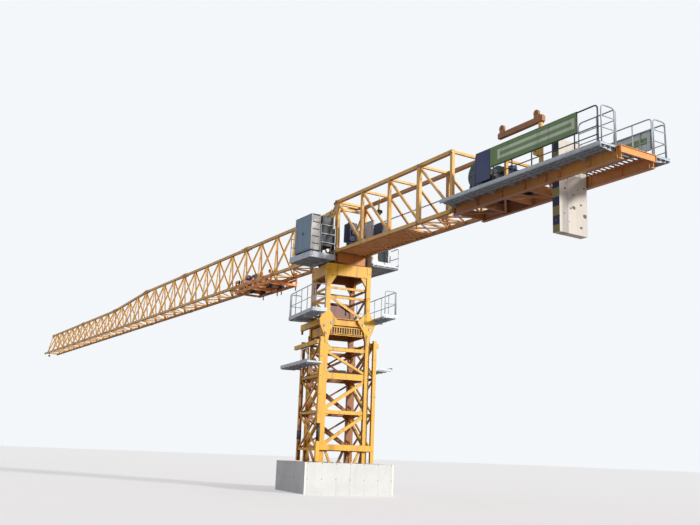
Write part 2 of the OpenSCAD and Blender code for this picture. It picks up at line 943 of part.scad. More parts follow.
module cab() {
  low = cab_deck_z + seat;
  high = low + cab_height;
  out = cab_deck_out - 160;
  color([0.85, 0.86, 0.86])
    difference() {
      translate([0, cab_width / 2 - out, 0])
        plate([[-600, low], [190, low], [330, low + 330], [250, high], [-600, high]], cab_width);
      translate([0, cab_width / 2 - out, 0])
        plate([[-570, low + 30], [172, low + 30], [300, low + 332], [226, high - 30], [-570, high - 30]],
              cab_width - 60);
      block([-601, 60 - out, low + 300], [-565, cab_width - 180 - out, high - 110]);
      block([-480, -out - 1, low + 300], [120, 31 - out, high - 110]);
      block([150, 50 - out, low + 370], [400, cab_width - 50 - out, high - 90]);
    }
}

module cab_windows() {
  low = cab_deck_z + seat;
  high = low + cab_height;
  out = cab_deck_out - 160;
  tilt = atan2(80, cab_height - 330);
  color([0.25, 0.32, 0.36, 0.5]) {
    block([-590, 60 + seat - out, low + 300 + seat], [-580, cab_width - 180 - seat - out, high - 110 - seat]);
    block([-480 + seat, 12 - out, low + 300 + seat], [120 - seat, 22 - out, high - 110 - seat]);
    intersection() {
      translate([330, 0, low + 330])
        rotate([0, -tilt, 0])
          block([-24, 50 + seat - out, -100], [-14, cab_width - 50 - seat - out, cab_height]);
      block([0, -out, low + 370 + seat], [400, cab_width - out, high - 90 - seat]);
    }
  }
}

module cab_platform() {
  inner = truss_out;
  out = cab_deck_out;
  low = cab_deck_z - 30;
  color(grey)
    union() {
      block([-710, -out, low], [475, -inner, cab_deck_z]);
      for (x = [-300, 280])
        block([x, -inner - 5, low], [x + 40, -truss_half, cab_deck_z]);
      for (x = [-705, -320, 60, 450])
        block([x, 4 - out, cab_deck_z - 5], [x + 16, 20 - out, cab_deck_z + 440]);
      for (z = [cab_deck_z + 215, cab_deck_z + 432])
        block([-705, 5 - out, z - 8], [466, 19 - out, z + 8]);
      block([-706, 12 - out, cab_deck_z + 424], [-690, -800, cab_deck_z + 440]);
      block([-706, -816, cab_deck_z - 5], [-690, -800, cab_deck_z + 440]);
    }
}

// Jib

// One length of the jib between two whole bays. high_a and high_b are the top chord's heights
// over the bottom chords at its two ends
module jib_length(first, last, high_a, high_b) {
  x0 = jib_start + first * jib_bay + (first == 0 ? 0 : seat);
  x1 = jib_start + last * jib_bay - seat;
  rise = high_b - high_a;
  bays = last - first;
  web_foot = jib_half - 20;
  color(yellow)
    intersection() {
      union() {
        for (y = [-jib_half, jib_half])
          block([x0, y - jib_chord / 2, chord_low_z - jib_chord / 2],
                [x1, y + jib_chord / 2, chord_low_z + jib_chord / 2]);
        bar([x0 - 100, 0, chord_low_z + high_a - rise * 100 / (x1 - x0)],
            [x1 + 100, 0, chord_low_z + high_b + rise * 100 / (x1 - x0)], 70);
        for (k = [0 : bays]) {
          xa = jib_start + (first + k) * jib_bay;
          za = chord_low_z + high_a + rise * k / bays;
          for (y = [-web_foot, web_foot])
            for (d = [-jib_bay / 2, jib_bay / 2])
              if ((xa + d > x0) && (xa + d < x1))
                bar([xa, 0, za], [xa + d, y, chord_low_z + 20], 36);
        }
        for (k = [0 : bays - 1]) {
          xb = jib_start + (first + k + 0.5) * jib_bay;
          side = (first + k) % 2 == 0 ? 1 : -1;
          block([xb - 18, -jib_half, chord_low_z - 18], [xb + 18, jib_half, chord_low_z + 18]);
          bar([xb - jib_bay / 2, side * jib_half, chord_low_z], [xb, -side * jib_half, chord_low_z], 24);
          bar([xb, -side * jib_half, chord_low_z], [xb + jib_bay / 2, side * jib_half, chord_low_z], 24);
        }
        for (end = [[x0, high_a, 1], [x1, high_b, -1]])
          translate([end[0], 0, chord_low_z + end[1]]) {
            bar([-10 * end[2], 0, 0], [290 * end[2], 0, 290 * end[2] * rise / (x1 - x0)], 88);
            block([-130, -30, -64], [130, 30, 64]);
          }
        for (x = [x0, x1])
          for (y = [-jib_half, jib_half])
            block([x - 120, y - 24, chord_low_z - 46], [x + 120, y + 24, chord_low_z + 24]);
      }
      block([x0, -2 * jib_half, chord_low_z - 200], [x1, 2 * jib_half, chord_high_z + 200]);
    }
}

// Winch that draws the trolley, on the jib's floor: drum between two plates, and a deflection sheave
module travel_winch() {
  base = chord_low_z + 18 + seat;
  y = jib_half - jib_chord / 2 - 20;
  color(blue)
    union() {
      block([4060, -y, base], [5270, y, base + 14]);
      for (s = [-1, 1])
        translate([0, s * 140, base])
          plate([[4090, 10], [4550, 10], [4550, 200], [4490, 236], [4150, 236], [4090, 200]], 16);
      translate([4280, 140, base + 130])
        rotate([90, 0, 0])
          cylinder(h = 280, r = 95, $fn = 48);
      block([4410, -110, base + 10], [4530, 110, base + 215]);
      block([5020, -130, base + 10], [5260, 130, base + 190]);
      for (s = [-1, 1])
        translate([0, s * 66, base])
          plate([[5030, 180], [5150, 180], [5115, 300], [5065, 300]], 12);
      translate([5090, 66, base + 275])
        rotate([90, 0, 0])
          cylinder(h = 132, r = 76, $fn = 48);
    }
}

// Trolley

module trolley_frame() {
  half = trolley_length / 2;
  side_y = jib_half + jib_chord / 2 + 20;
  low = chord_low_z - trolley_depth;
  axle_z = chord_low_z + jib_chord / 2 + wheel_gap + trolley_wheel;
  rail_z = chord_low_z - 85;
  places = [-half + 26, -half / 2, 0, half / 2, half - 26];
  color(orange)
    translate([trolley_x, 0, 0])
      union() {
        both_sides() {
          block([-half, side_y, low], [half, side_y + 30, low + 70]);
          block([-half, side_y, rail_z], [half, side_y + 30, rail_z + 50]);
          for (x = places)
            block([x - 26, side_y, low], [x + 26, side_y + 30, axle_z + (abs(x) > half / 3 ? 30 : -30)]);
          for (i = [0 : 3])
            intersection() {
              translate([0, side_y + 15, 0])
                flat_bar([places[i], i % 2 == 0 ? low + 30 : rail_z + 30],
                         [places[i + 1], i % 2 == 0 ? rail_z + 30 : low + 30], 40, 22);
              block([-half, 0, low], [half, 2 * side_y, rail_z + 50]);
            }
        }
        for (x = places)
          block([x - 26, -side_y - 5, low + 5], [x + 26, side_y + 5, low + 56]);
        both_ways()
          for (y = [-1, 1])
            translate([half - 120, y * (side_y + 24), axle_z])
              rotate([90, 0, 0])
                translate([0, 0, y > 0 ? 0 : -62])
                  cylinder(h = 62, r = 12, $fn = 32);
        both_ways()
          for (y = [-1, 1])
            block([half - 160, y * (side_y + 12) - 12, axle_z - 40], [half - 10, y * (side_y + 12) + 12, axle_z + 40]);
        for (x = [-half + 60, -240, 0, half - 250])
          block([x - 14, -side_y - 27, low - 100], [x + 14, -side_y - 3, low + 8]);
      }
}

module trolley_wheels() {
  half = trolley_length / 2;
  rim = jib_half + 11;
  color(blue)
    translate([trolley_x, 0, chord_low_z + jib_chord / 2 + wheel_gap + trolley_wheel])
      both_ways()
        both_sides()
          translate([half - 120, rim + 22, 0])
            rotate([90, 0, 0])
              difference() {
                cylinder(h = 22, r = trolley_wheel, $fn = 48);
                translate([0, 0, -1])
                  cylinder(h = 24, r = 12 + pin_gap, $fn = 32);
              }
}

foundation_plinth();
pit_walls();
mast_legs();
mast_bracing(-90);  // mast_front_bracing
mast_bracing(90);  // mast_rear_bracing
mast_bracing(180);  // mast_left_bracing
mast_bracing(0);  // mast_right_bracing
base_struts();
cage_posts();
cage_bracing(180);  // cage_left_bracing
cage_bracing(90);  // cage_rear_bracing
cage_bracing(0);  // cage_right_bracing
cage_front_beam();
cage_platform();
climbing_beams();
support_legs();
support_beams();
support_bracing();
hydraulic_unit();
service_platform();
service_railing();
fixed_ring();
turntable();
slewing_drives();
jib_links();
truss_side(truss_half);  // left_truss_side
truss_side(-truss_half);  // right_truss_side
truss_handrails();
truss_top_bracing();
truss_floor();
girder(1);  // left_girder
girder(-1);  // right_girder
girder_cross_beams();
walkway(1);  // left_walkway
walkway(-1);  // right_walkway
side_railing(1, -5515, left_walk_end + 40, 7);  // left_railing
side_railing(-1, walk_start - 20, right_walk_end + 40, 9);  // right_railing
inner_railings();
name_boards();
winch_frame();
winch_motor();
hoist_drum();
counterweight();
derrick_post();
derrick_beam();
electric_cabinets();
cabinet_platform();
cab();
cab_windows();
cab_platform();
jib_length(0, 5, jib_rise, jib_rise);  // jib_root
jib_length(5, 10, jib_rise, jib_rise);  // jib_second
jib_length(10, 14, jib_rise, jib_rise);  // jib_third
jib_length(14, 18, jib_rise, outer_rise);  // jib_taper
jib_length(18, 23, outer_rise, outer_rise);  // jib_fifth
jib_length(23, 29, outer_rise, outer_rise);  // jib_tip
travel_winch();
trolley_frame();
trolley_wheels();
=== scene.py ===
"""Looks of the flat-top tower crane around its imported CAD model. Metres, Z up, the jib along +X."""
import math

import bmesh
import bpy
from mathutils import Matrix, Vector


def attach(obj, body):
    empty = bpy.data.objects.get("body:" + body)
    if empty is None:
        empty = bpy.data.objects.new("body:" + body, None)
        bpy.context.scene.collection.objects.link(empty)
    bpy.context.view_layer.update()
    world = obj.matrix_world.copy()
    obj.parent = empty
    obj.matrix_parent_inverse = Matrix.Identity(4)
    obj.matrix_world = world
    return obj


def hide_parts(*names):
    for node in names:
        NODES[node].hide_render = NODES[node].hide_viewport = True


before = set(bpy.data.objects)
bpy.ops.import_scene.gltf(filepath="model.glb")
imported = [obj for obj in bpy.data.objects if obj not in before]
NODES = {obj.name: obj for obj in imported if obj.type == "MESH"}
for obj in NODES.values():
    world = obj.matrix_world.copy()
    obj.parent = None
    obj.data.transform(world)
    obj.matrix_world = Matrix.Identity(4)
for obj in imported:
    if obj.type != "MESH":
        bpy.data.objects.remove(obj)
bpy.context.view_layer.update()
SIDES = (-1, 1)
UP = (0, 0, 1)
PIT_HALF, PLINTH_TOP, TOWER_ANGLE = 0.985, 0.15, math.radians(-10)
MAST_HALF, MAST_LEG, MAST_TOP, MAST_LEVELS = 0.484, 0.1, 3.27, (0.94, 1.685, 2.45, 3.025)
CAGE_HALF, CAGE_POST, CAGE_DECK = 0.616, 0.076, 2.7
SUPPORT_HALF, SUPPORT_TOP = 0.47, 4.915
SERVICE_DECK, CABINET_DECK, CAB_DECK = 3.775, 5.1, 5.0
CHORD_LOW, CHORD_HIGH, CHORD = 5.218, 6.363, 0.07
TRUSS_START, TRUSS_BAY, TRUSS_HALF, FLOOR_TOP = -0.352, 1.031, 0.36, 5.2356
GIRDER_TOP, GIRDER_Y, GIRDER_DEPTH = 5.325, 0.345, 0.205
GIRDER_IN, GIRDER_OUT, GIRDER_END, COUNTER_END = 0.3087, 0.385, -8.3863, -8.416
GIRDER_JOINTS = (-4.56, -5.2, -5.84, -6.4, -6.88, -7.18, -7.8, -8.33)
WALK_HALF, WALK_START, WALK_ENDS, WALK_RAIL = 0.705, -4.55, {1: -8.326, -1: -8.406}, 0.6
BOARD_TOP, BALLAST_X = 5.921, -7.03
WINCH_X, WINCH_Z, MOTOR_X, MOTOR_Z = -5.03, 5.8, -5.55, GIRDER_TOP + 0.3906
DERRICK_X, DERRICK_LOW = -6.76, 6.2053
SLEWING_DRIVES, DRIVE_Y = (-0.6, 0.15), 0.16
JIB_START, JIB_BAY, JIB_HALF, OUTER_RISE = 0.475, 0.962, 0.303, 0.91
JIB_ENDS = (0, 5, 10, 14, 18, 23, 29)
TROLLEY_X = 3.95
CAB_PLACE = Matrix.Translation((0, -0.94, CAB_DECK))
BODY_PLACES = {
    "tower": Matrix.Rotation(TOWER_ANGLE, 4, "Z"),
    "drum": Matrix.Translation((WINCH_X, 0, WINCH_Z)),
    "derrick": Matrix.Translation((DERRICK_X, GIRDER_Y, DERRICK_LOW)),
    "trolley": Matrix.Translation((TROLLEY_X, 0, CHORD_LOW))}

# broken spots on the ballast's rear face: y, z and radius
PITS = ((0.18, 5.03, 0.027), (0, 4.95, 0.025), (-0.01, 4.74, 0.042), (-0.17, 4.81, 0.028),
        (-0.25, 4.64, 0.045), (-0.16, 4.44, 0.034), (0.06, 4.72, 0.024), (-0.24, 5.1, 0.02),
        (0.12, 5.2, 0.02), (0.2, 4.62, 0.016), (-0.08, 4.6, 0.014), (-0.22, 4.9, 0.014), (0.1, 4.5, 0.016),
        (-0.1, 5.05, 0.013))


# shader helpers

def linear(red, green, blue):
    """A colour given as 0 to 255 on screen, as the shader wants it."""
    parts = (red, green, blue)
    return tuple(((c / 255 + 0.055) / 1.055) ** 2.4 if c > 10 else c / 3295 for c in parts) + (1,)


class Shading:
    """A node tree as it fills up: each method adds a node and gives what comes out of it."""

    def __init__(self, tree):
        self.tree = tree

    def node(self, kind, inputs, **settings):
        made = self.tree.nodes.new(kind)
        for name, value in settings.items():
            setattr(made, name, value)
        for socket, value in inputs.items():
            if isinstance(value, bpy.types.NodeSocket):
                self.tree.links.new(value, made.inputs[socket])
            else:
                made.inputs[socket].default_value = value
        return made

    def mix(self, factor, first, second):
        return self.node("ShaderNodeMix", {0: factor, 6: first, 7: second}, data_type="RGBA").outputs[2]

    def maths(self, operation, *values):
        return self.node("ShaderNodeMath", dict(enumerate(values)), operation=operation).outputs[0]

    def times(self, first, second):
        return self.maths("MULTIPLY", first, second)

    def times_add(self, first, second, third):
        return self.maths("MULTIPLY_ADD", first, second, third)

    def size(self, value):
        return self.maths("ABSOLUTE", value)

    def vector(self, operation, *values, out="Vector", **named):
        inputs = {**dict(enumerate(values)), **named}
        return self.node("ShaderNodeVectorMath", inputs, operation=operation).outputs[out]

    def laid(self, shade, mask, amount, colour):
        """The shade with a colour laid over it where the mask is, at most by that amount."""
        return self.mix(self.times(mask, amount), shade, colour)

    def noise(self, vector, scale, detail=4.0, roughness=0.55):
        inputs = {"Vector": vector, "Scale": scale, "Detail": detail, "Roughness": roughness}
        return self.node("ShaderNodeTexNoise", inputs).outputs["Fac"]

    def cells(self, vector, scale, out):
        return self.node("ShaderNodeTexVoronoi", {"Vector": vector, "Scale": scale}).outputs[out]

    def ramp(self, value, low, high):
        inputs = {"Value": value, "From Min": low, "From Max": high}
        return self.node("ShaderNodeMapRange", inputs).outputs["Result"]

    def mapped(self, vector, scale, turn=0.0):
        inputs = {"Vector": vector, "Rotation": (0, 0, turn), "Scale": scale}
        return self.node("ShaderNodeMapping", inputs).outputs["Vector"]

    def split(self, vector):
        return self.node("ShaderNodeSeparateXYZ", {"Vector": vector}).outputs

    def marks(self, group, **inputs):
        return self.node("ShaderNodeGroup", inputs, node_tree=group).outputs


def weather(tree, given):
    """Blotches, downward streaks, fine grain and small chips over a surface."""
    where = tree.vector("SCALE", given["Vector"], Scale=given["Scale"])
    return {"Blotch": tree.ramp(tree.noise(where, 1.3, 5.0), 0.38, 0.68),
            "Streak": tree.ramp(tree.noise(tree.mapped(where, (9, 9, 0.7)), 1.0, 6.0, 0.6), 0.48, 0.72),
            "Grain": tree.noise(where, 55.0, 3.0),
            "Chips": tree.ramp(tree.noise(where, 11.0, 9.0, 0.68), 0.635, 0.66)}


def painted_shade_masks(tree, given):
    """Masks for painted shade: faces that look down, and faces that look in on the frame's middle."""
    outward = tree.vector("NORMALIZE", tree.vector("MULTIPLY", given["Vector"], given["Across"]))
    facing = tree.vector("DOT_PRODUCT", given["Normal"], outward, out="Value")
    return {"Under": tree.ramp(tree.split(given["Normal"])["Z"], -0.35, -0.9),
            "Inner": tree.ramp(facing, -0.25, -0.6)}


def cast(tree, given):
    """Marks of cast concrete: cloudy patches, form panels, tie holes on a grid and pores."""
    where, pitch = given["Vector"], given["Pitch"]
    axes = tree.split(where)
    spans = []
    for axis in "XYZ":
        part = tree.maths("FRACT", tree.maths("DIVIDE", tree.maths("ADD", axes[axis], 20.0), pitch))
        spans.append(tree.times(tree.maths("SUBTRACT", part, 0.5), pitch))
    ties = [tree.node("ShaderNodeCombineXYZ", {"X": span, "Z": spans[2]}).outputs[0] for span in spans[:2]]
    near = tree.maths("MINIMUM", *(tree.vector("LENGTH", tie, out="Value") for tie in ties))
    return {"Cloud": tree.ramp(tree.noise(where, 2.2, 6.0, 0.6), 0.3, 0.7),
            "Seam": tree.ramp(tree.maths("MINIMUM", tree.size(spans[0]), tree.size(spans[1])), 0.004, 0.001),
            "Tie": tree.ramp(near, 0.016, 0.011),
            "Pores": tree.ramp(tree.cells(where, 26.0, "Distance"), 0.1, 0.06)}


def new_group(build, **inputs):
    """A shader node group, filled by a function that gives its outputs by name."""
    tree = bpy.data.node_groups.new(build.__name__, "ShaderNodeTree")
    for socket, kind in inputs.items():
        tree.interface.new_socket(socket, in_out="INPUT", socket_type="NodeSocket" + kind)
    found = build(Shading(tree), tree.nodes.new("NodeGroupInput").outputs)
    for socket in found:
        tree.interface.new_socket(socket, in_out="OUTPUT", socket_type="NodeSocketFloat")
    end = tree.nodes.new("NodeGroupOutput")
    for socket, value in found.items():
        tree.links.new(value, end.inputs[socket])
    return tree


WEATHER = new_group(weather, Vector="Vector", Scale="Float")
PAINTED_SHADE_MASKS = new_group(painted_shade_masks, Normal="Vector", Vector="Vector", Across="Vector")
CAST = new_group(cast, Vector="Vector", Pitch="Float")


# finishes

class Finish(Shading):
    """A new material, with the place on the object that its patterns read."""

    def __init__(self, name, scale=1.0):
        self.material = bpy.data.materials.new(name)
        self.material.use_nodes = True
        super().__init__(self.material.node_tree)
        self.shader = self.tree.nodes["Principled BSDF"].inputs
        self.where = self.tree.nodes.new("ShaderNodeTexCoord").outputs["Object"]
        self.found = self.marks(WEATHER, Vector=self.where, Scale=scale)

    def painted_shade_and_soot(self, shade, dirt_and_shade, amount, inner=0.0, across=(0, 1, 0)):
        """The shade with the dirt colour laid on faces that look down or in: painted shade, with the soot
        such faces gather.
        """
        normal = self.tree.nodes.new("ShaderNodeTexCoord").outputs["Normal"]
        shaded_faces = self.marks(PAINTED_SHADE_MASKS, Normal=normal, Vector=self.where, Across=across)
        most = self.maths("MAXIMUM", self.times(shaded_faces["Under"], amount), self.times(shaded_faces["Inner"], inner))
        return self.mix(most, shade, dirt_and_shade)

    def feed(self, socket, value):
        self.tree.links.new(value, self.shader[socket])

    def fix(self, socket, value):
        self.shader[socket].default_value = value

    def bump(self, height, strength, distance=0.002):
        inputs = {"Height": height, "Strength": strength, "Distance": distance}
        self.feed("Normal", self.node("ShaderNodeBump", inputs).outputs["Normal"])


def painted(name, colour, pale, dirt_and_shade, rust=0.5, gloss=0.4, fade=0.35, soil=0.45, metal=0.0, soot_and_shade_below=0.6,
            inner=0.0, across=(0, 1, 0), browned_stretch=None):
    """Paint on steel: faded patches, dirt run down by rain, painted shade with soot on faces that look down
    or in, a darker brown along a stretch in X, chips to rusty metal.
    """
    made = Finish(name)
    shade = made.laid(linear(*colour), made.found["Blotch"], fade, linear(*pale))
    shade = made.laid(shade, made.found["Streak"], soil, linear(*dirt_and_shade))
    # painted shade, with some soot, on faces that look down or in
    shade = made.painted_shade_and_soot(shade, linear(*dirt_and_shade), soot_and_shade_below, inner, across)
    # a darker brown along a stretch in X, its edge blurred by the blotches
    if browned_stretch is not None:
        browning = made.ramp(made.times_add(made.found["Blotch"], 0.6, made.split(made.where)["X"]), *browned_stretch)
        shade = made.laid(shade, browning, 0.6, linear(144, 88, 66))
    made.feed("Base Color", made.laid(shade, made.found["Chips"], rust, linear(92, 56, 36)))
    made.feed("Roughness", made.times_add(made.found["Grain"], 0.18, gloss))
    made.bump(made.times_add(made.found["Chips"], -0.6, made.found["Grain"]), 0.12)
    made.fix("Metallic", metal)
    return made.material


def zinc(name, colour, dark, metal=0.35, scale=1.0):
    """Galvanised steel: grey crystals, dull patches and brownish streaks."""
    made = Finish(name, scale)
    crystals = made.cells(made.where, 38.0, "Color")
    value = made.node("ShaderNodeSeparateColor", {"Color": crystals}).outputs[0]
    shade = made.laid(linear(*colour), value, 0.3, linear(*dark))
    shade = made.laid(shade, made.found["Blotch"], 0.4, linear(*dark))
    shade = made.laid(shade, made.found["Streak"], 0.25, linear(120, 104, 88))
    # dark grey on faces that look down: painted shade
    made.feed("Base Color", made.painted_shade_and_soot(shade, linear(92, 92, 98), 0.7))
    made.feed("Roughness", made.times_add(value, 0.16, 0.42))
    made.bump(made.found["Grain"], 0.1)
    made.fix("Metallic", metal)
    return made.material


class Concrete(Finish):
    """Cast concrete with cloudy patches, rain streaks and pores."""

    def __init__(self, name, colour, dark, pitch, turn=0.0):
        super().__init__(name, 1.6)
        self.turned = self.mapped(self.where, (1, 1, 1), turn)
        self.cast = self.marks(CAST, Vector=self.turned, Pitch=pitch)
        self.shade = self.laid(linear(*colour), self.cast["Cloud"], 0.45, linear(*dark))
        self.lay(self.found["Streak"], 0.4, dark)
        self.lay(self.cast["Pores"], 0.5, (96, 92, 88))
        self.height = self.times_add(self.cast["Pores"], -1.0, self.found["Grain"])

    def lay(self, mask, amount, colour):
        self.shade = self.laid(self.shade, mask, amount, linear(*colour))

    def done(self):
        self.feed("Base Color", self.shade)
        self.feed("Roughness", self.times_add(self.found["Grain"], 0.15, 0.78))
        self.bump(self.height, 0.3, 0.004)
        return self.material


def formed_concrete(name, colour, dark, pitch, strip=None):
    """Concrete cast in panels, with seams, dents and tie holes, and pale corner strips past a half width."""
    made = Concrete(name, colour, dark, pitch, -TOWER_ANGLE)
    made.lay(made.cast["Seam"], 0.2, (140, 134, 126))
    made.lay(made.ramp(made.noise(made.where, 9.0, 3.0, 0.7), 0.66, 0.72), 0.45, (148, 148, 150))
    made.lay(made.cast["Tie"], 0.55, (120, 116, 112))
    if strip is not None:
        axes = made.split(made.turned)
        nearer = made.maths("MINIMUM", made.size(axes["X"]), made.size(axes["Y"]))
        made.lay(made.maths("GREATER_THAN", nearer, strip), 1.0, (250, 248, 240))
    made.height = made.times_add(made.cast["Tie"], -3.0, made.height)
    return made.done()


def striped_concrete(name, colour, dark, pitch):
    """The ballast: a damp stain, broken pits and a crack at the rear, and warning bands on its sides."""
    foot, band, side_y = 4.43, 0.3, 0.3015
    made = Concrete(name, colour, dark, pitch)
    axes = made.split(made.where)
    stain = made.ramp(made.size(made.maths("SUBTRACT", axes["Y"], 0.18)), 0.09, 0.05)
    made.lay(made.times(stain, made.ramp(axes["Z"], 5.05, 4.75)), 0.5, (132, 132, 138))
    bent = made.times_add(made.noise(made.where, 24.0, 4.0), 0.05, -0.025)
    for y, z, radius in PITS:
        across = made.maths("SUBTRACT", axes["Y"], y)
        up = made.times(made.maths("SUBTRACT", axes["Z"], z), 1.3)
        far = made.maths("SQRT", made.times_add(across, across, made.times(up, up)))
        made.lay(made.ramp(made.maths("ADD", far, bent), radius, radius - 0.01), 0.85, (66, 62, 62))
    crack = made.size(made.times_add(bent, 1.6, made.maths("ADD", axes["Y"], -0.13)))
    made.lay(made.ramp(crack, 0.005, 0.001), 0.5, (120, 112, 108))
    height = made.maths("FRACT", made.maths("DIVIDE", made.maths("SUBTRACT", axes["Z"], foot), band))
    bands = made.mix(made.maths("LESS_THAN", height, 0.5), linear(148, 140, 84), linear(34, 44, 82))
    side = made.maths("GREATER_THAN", made.size(axes["Y"]), side_y)
    made.shade = made.laid(made.shade, side, made.times_add(made.found["Chips"], -0.6, 0.96), bands)
    return made.done()


def glass(name, colour):
    made = Finish(name, 2.0)
    made.feed("Base Color", made.laid(linear(*colour), made.found["Streak"], 0.25, linear(120, 126, 130)))
    made.feed("Roughness", made.times_add(made.found["Blotch"], 0.08, 0.05))
    made.fix("Transmission Weight", 0.55)
    made.fix("IOR", 1.45)
    return made.material


def placed_paint(name, base, regions):
    """One node with several paints: each region is a colour and the bounds that it fills, in metres."""
    made = Finish(name)
    axes = made.split(made.where)
    shade = linear(*base)
    for colour, bounds in regions:
        inside = 1.0
        for axis, (low, high) in bounds.items():
            inside = made.times(made.maths("GREATER_THAN", axes[axis], low), inside)
            inside = made.times(made.maths("LESS_THAN", axes[axis], high), inside)
        shade = made.mix(inside, shade, linear(*colour))
    shade = made.laid(shade, made.found["Blotch"], 0.12, linear(170, 170, 160))
    shade = made.laid(shade, made.found["Streak"], 0.3, linear(74, 66, 56))
    # brown on faces that look down: painted shade
    made.feed("Base Color", made.painted_shade_and_soot(shade, linear(84, 62, 48), 0.4))
    made.feed("Roughness", made.times_add(made.found["Grain"], 0.18, 0.42))
    made.bump(made.times_add(made.found["Chips"], -0.6, made.found["Grain"]), 0.1)
    return made.material


# The amounts for faces that look down and faces that look in lay each paint's dirt colour there as painted
# shade, with some soot.
YELLOW = painted("yellow paint", (244, 184, 84), (248, 214, 156), (128, 72, 42), fade=0.5, soot_and_shade_below=0.75,
                 inner=0.6)
MAST_YELLOW = painted("mast yellow paint", (240, 180, 32), (246, 200, 84), (136, 68, 38), soil=0.6,
                      soot_and_shade_below=0.85, inner=0.85, across=(1, 1, 0))
GIRDER_YELLOW = painted("girder yellow paint", (230, 160, 76), (228, 182, 122), (182, 128, 100), soot_and_shade_below=0.85,
                        inner=0.4, browned_stretch=(-7.3, -5.4))
# a lighter copy of the girder yellow for the truss floor: painted light on its underside
LIGHTENED_FLOOR_PAINT = painted("truss floor paint, lightened as painted light", (232, 170, 104), (228, 186, 140), (196, 150, 128))
# darker red-brown turntable paint: painted shadow of the truss floor above it
SHADOWED_TURNTABLE_PAINT = painted("turntable paint with painted shadow", (198, 122, 42), (204, 136, 62), (120, 66, 40), soil=0.6,
                          soot_and_shade_below=0.85)
ORANGE = placed_paint("trolley paint", (238, 150, 62), [((66, 50, 44), {"Z": (4, CHORD_LOW - 0.232)})])
BROWN = painted("derrick brown paint", (176, 112, 62), (190, 130, 84), (104, 62, 40), rust=0.6)
DARK_BLUE = painted("dark blue paint", (34, 46, 84), (58, 72, 110), (28, 30, 36), rust=0.3)
TEAL = painted("teal paint", (28, 72, 80), (58, 98, 104), (26, 34, 36), rust=0.4)
RED_BROWN = painted("red-brown paint", (132, 84, 72), (156, 110, 94), (76, 54, 46))
WHITE = painted("white paint", (226, 226, 226), (206, 208, 208), (150, 146, 140), rust=0.3, soil=0.35)
PLUM = painted("plum paint", (98, 72, 92), (124, 96, 112), (58, 44, 50), rust=0.4)
# slate blue-grey: the light cabinet grey as it looks in shade, painted shade
SHADED_CABINET_GREY = painted("cabinet grey in painted shade", (120, 148, 172), (140, 164, 184), (88, 98, 110), rust=0.2)
LIGHT_GREY = painted("light cabinet paint", (222, 220, 216), (204, 203, 200), (150, 146, 140), rust=0.2,
                     soil=0.3)
# dark grey cabinet paint, darkened further as painted shade
SHADED_CHARCOAL = painted("charcoal cabinet paint, darkened as painted shade", (62, 68, 72), (84, 90, 92), (44, 42, 40), rust=0.2)
DARK_STEEL = painted("dark steel", (44, 48, 56), (70, 74, 80), (56, 44, 36), metal=0.3)
RUBBER = painted("black rubber", (26, 26, 28), (44, 44, 46), (60, 54, 48), rust=0.0, gloss=0.6)
BOLT_STEEL = zinc("bolt steel", (150, 152, 154), (96, 90, 84), metal=0.6, scale=3.0)
ROPE_STEEL = zinc("wire rope", (96, 98, 100), (48, 46, 44), metal=0.5, scale=4.0)
ZINC = zinc("galvanised steel", (204, 214, 224), (158, 168, 180), metal=0.15)
# the galvanised steel darkened for the near railing: painted shade
SHADED_RAILING_ZINC = zinc("railing steel in painted shade", (78, 86, 100), (50, 56, 68))
PIT = formed_concrete("pit concrete", (234, 236, 234), (204, 206, 206), 0.31, PIT_HALF - 0.035)
PLINTH = formed_concrete("foundation concrete", (178, 172, 162), (140, 134, 126), 0.5)
BALLAST = striped_concrete("ballast concrete", (228, 222, 212), (196, 188, 180), 0.4)
CAB_GLASS = glass("cab glass", (70, 84, 92))
LAMP_GLASS = glass("lamp glass", (190, 196, 198))
WINCH_PAINT = placed_paint("winch frame paint", (40, 52, 88), [
    ((226, 168, 60), {"X": (-5.9, -5.79), "Z": (GIRDER_TOP + 0.062, 7)})])
BOARDS = placed_paint("name board paint", (112, 148, 86), [
    ((214, 230, 206), {"X": (-7.84, -6.12), "Y": (0, 1), "Z": (5.67, 5.84)}),
    ((126, 160, 98), {"X": (-7.78, -6.18), "Y": (0, 1), "Z": (5.725, 5.785)}),
    ((222, 232, 232), {"Y": (-1, 0)}),
    ((126, 160, 98), {"X": (-8.0, -6.18), "Y": (-1, 0), "Z": (5.7, 5.81)}),
    ((4, 44, 108), {"X": (-5.931, -5)})])

LOOKS = {
    YELLOW: ["jib_links", "left_truss_side", "right_truss_side", "truss_top_bracing", "jib_root",
             "jib_second", "jib_third", "jib_taper", "jib_fifth", "jib_tip", "derrick_post"],
    MAST_YELLOW: ["mast_legs", "mast_front_bracing", "mast_rear_bracing", "mast_left_bracing",
                  "mast_right_bracing", "base_struts", "cage_posts", "cage_left_bracing", "cage_rear_bracing",
                  "cage_right_bracing", "cage_front_beam", "climbing_beams", "support_legs", "support_beams",
                  "support_bracing"],
    SHADOWED_TURNTABLE_PAINT: ["turntable"],
    GIRDER_YELLOW: ["left_girder", "right_girder"],
    LIGHTENED_FLOOR_PAINT: ["truss_floor"],
    BROWN: ["derrick_beam"],
    ORANGE: ["trolley_frame"],
    WINCH_PAINT: ["winch_frame"],
    BOARDS: ["name_boards"],
    DARK_BLUE: ["slewing_drives", "winch_motor", "trolley_wheels"],
    PLUM: ["travel_winch"],
    TEAL: ["hoist_drum"],
    RED_BROWN: ["hydraulic_unit"],
    ZINC: ["fixed_ring", "cage_platform", "service_platform", "cabinet_platform", "cab_platform",
           "truss_handrails", "left_walkway", "right_walkway"],
    PIT: ["pit_walls"],
    PLINTH: ["foundation_plinth"],
    BALLAST: ["counterweight"],
    WHITE: ["cab"],
    CAB_GLASS: ["cab_windows"],
}
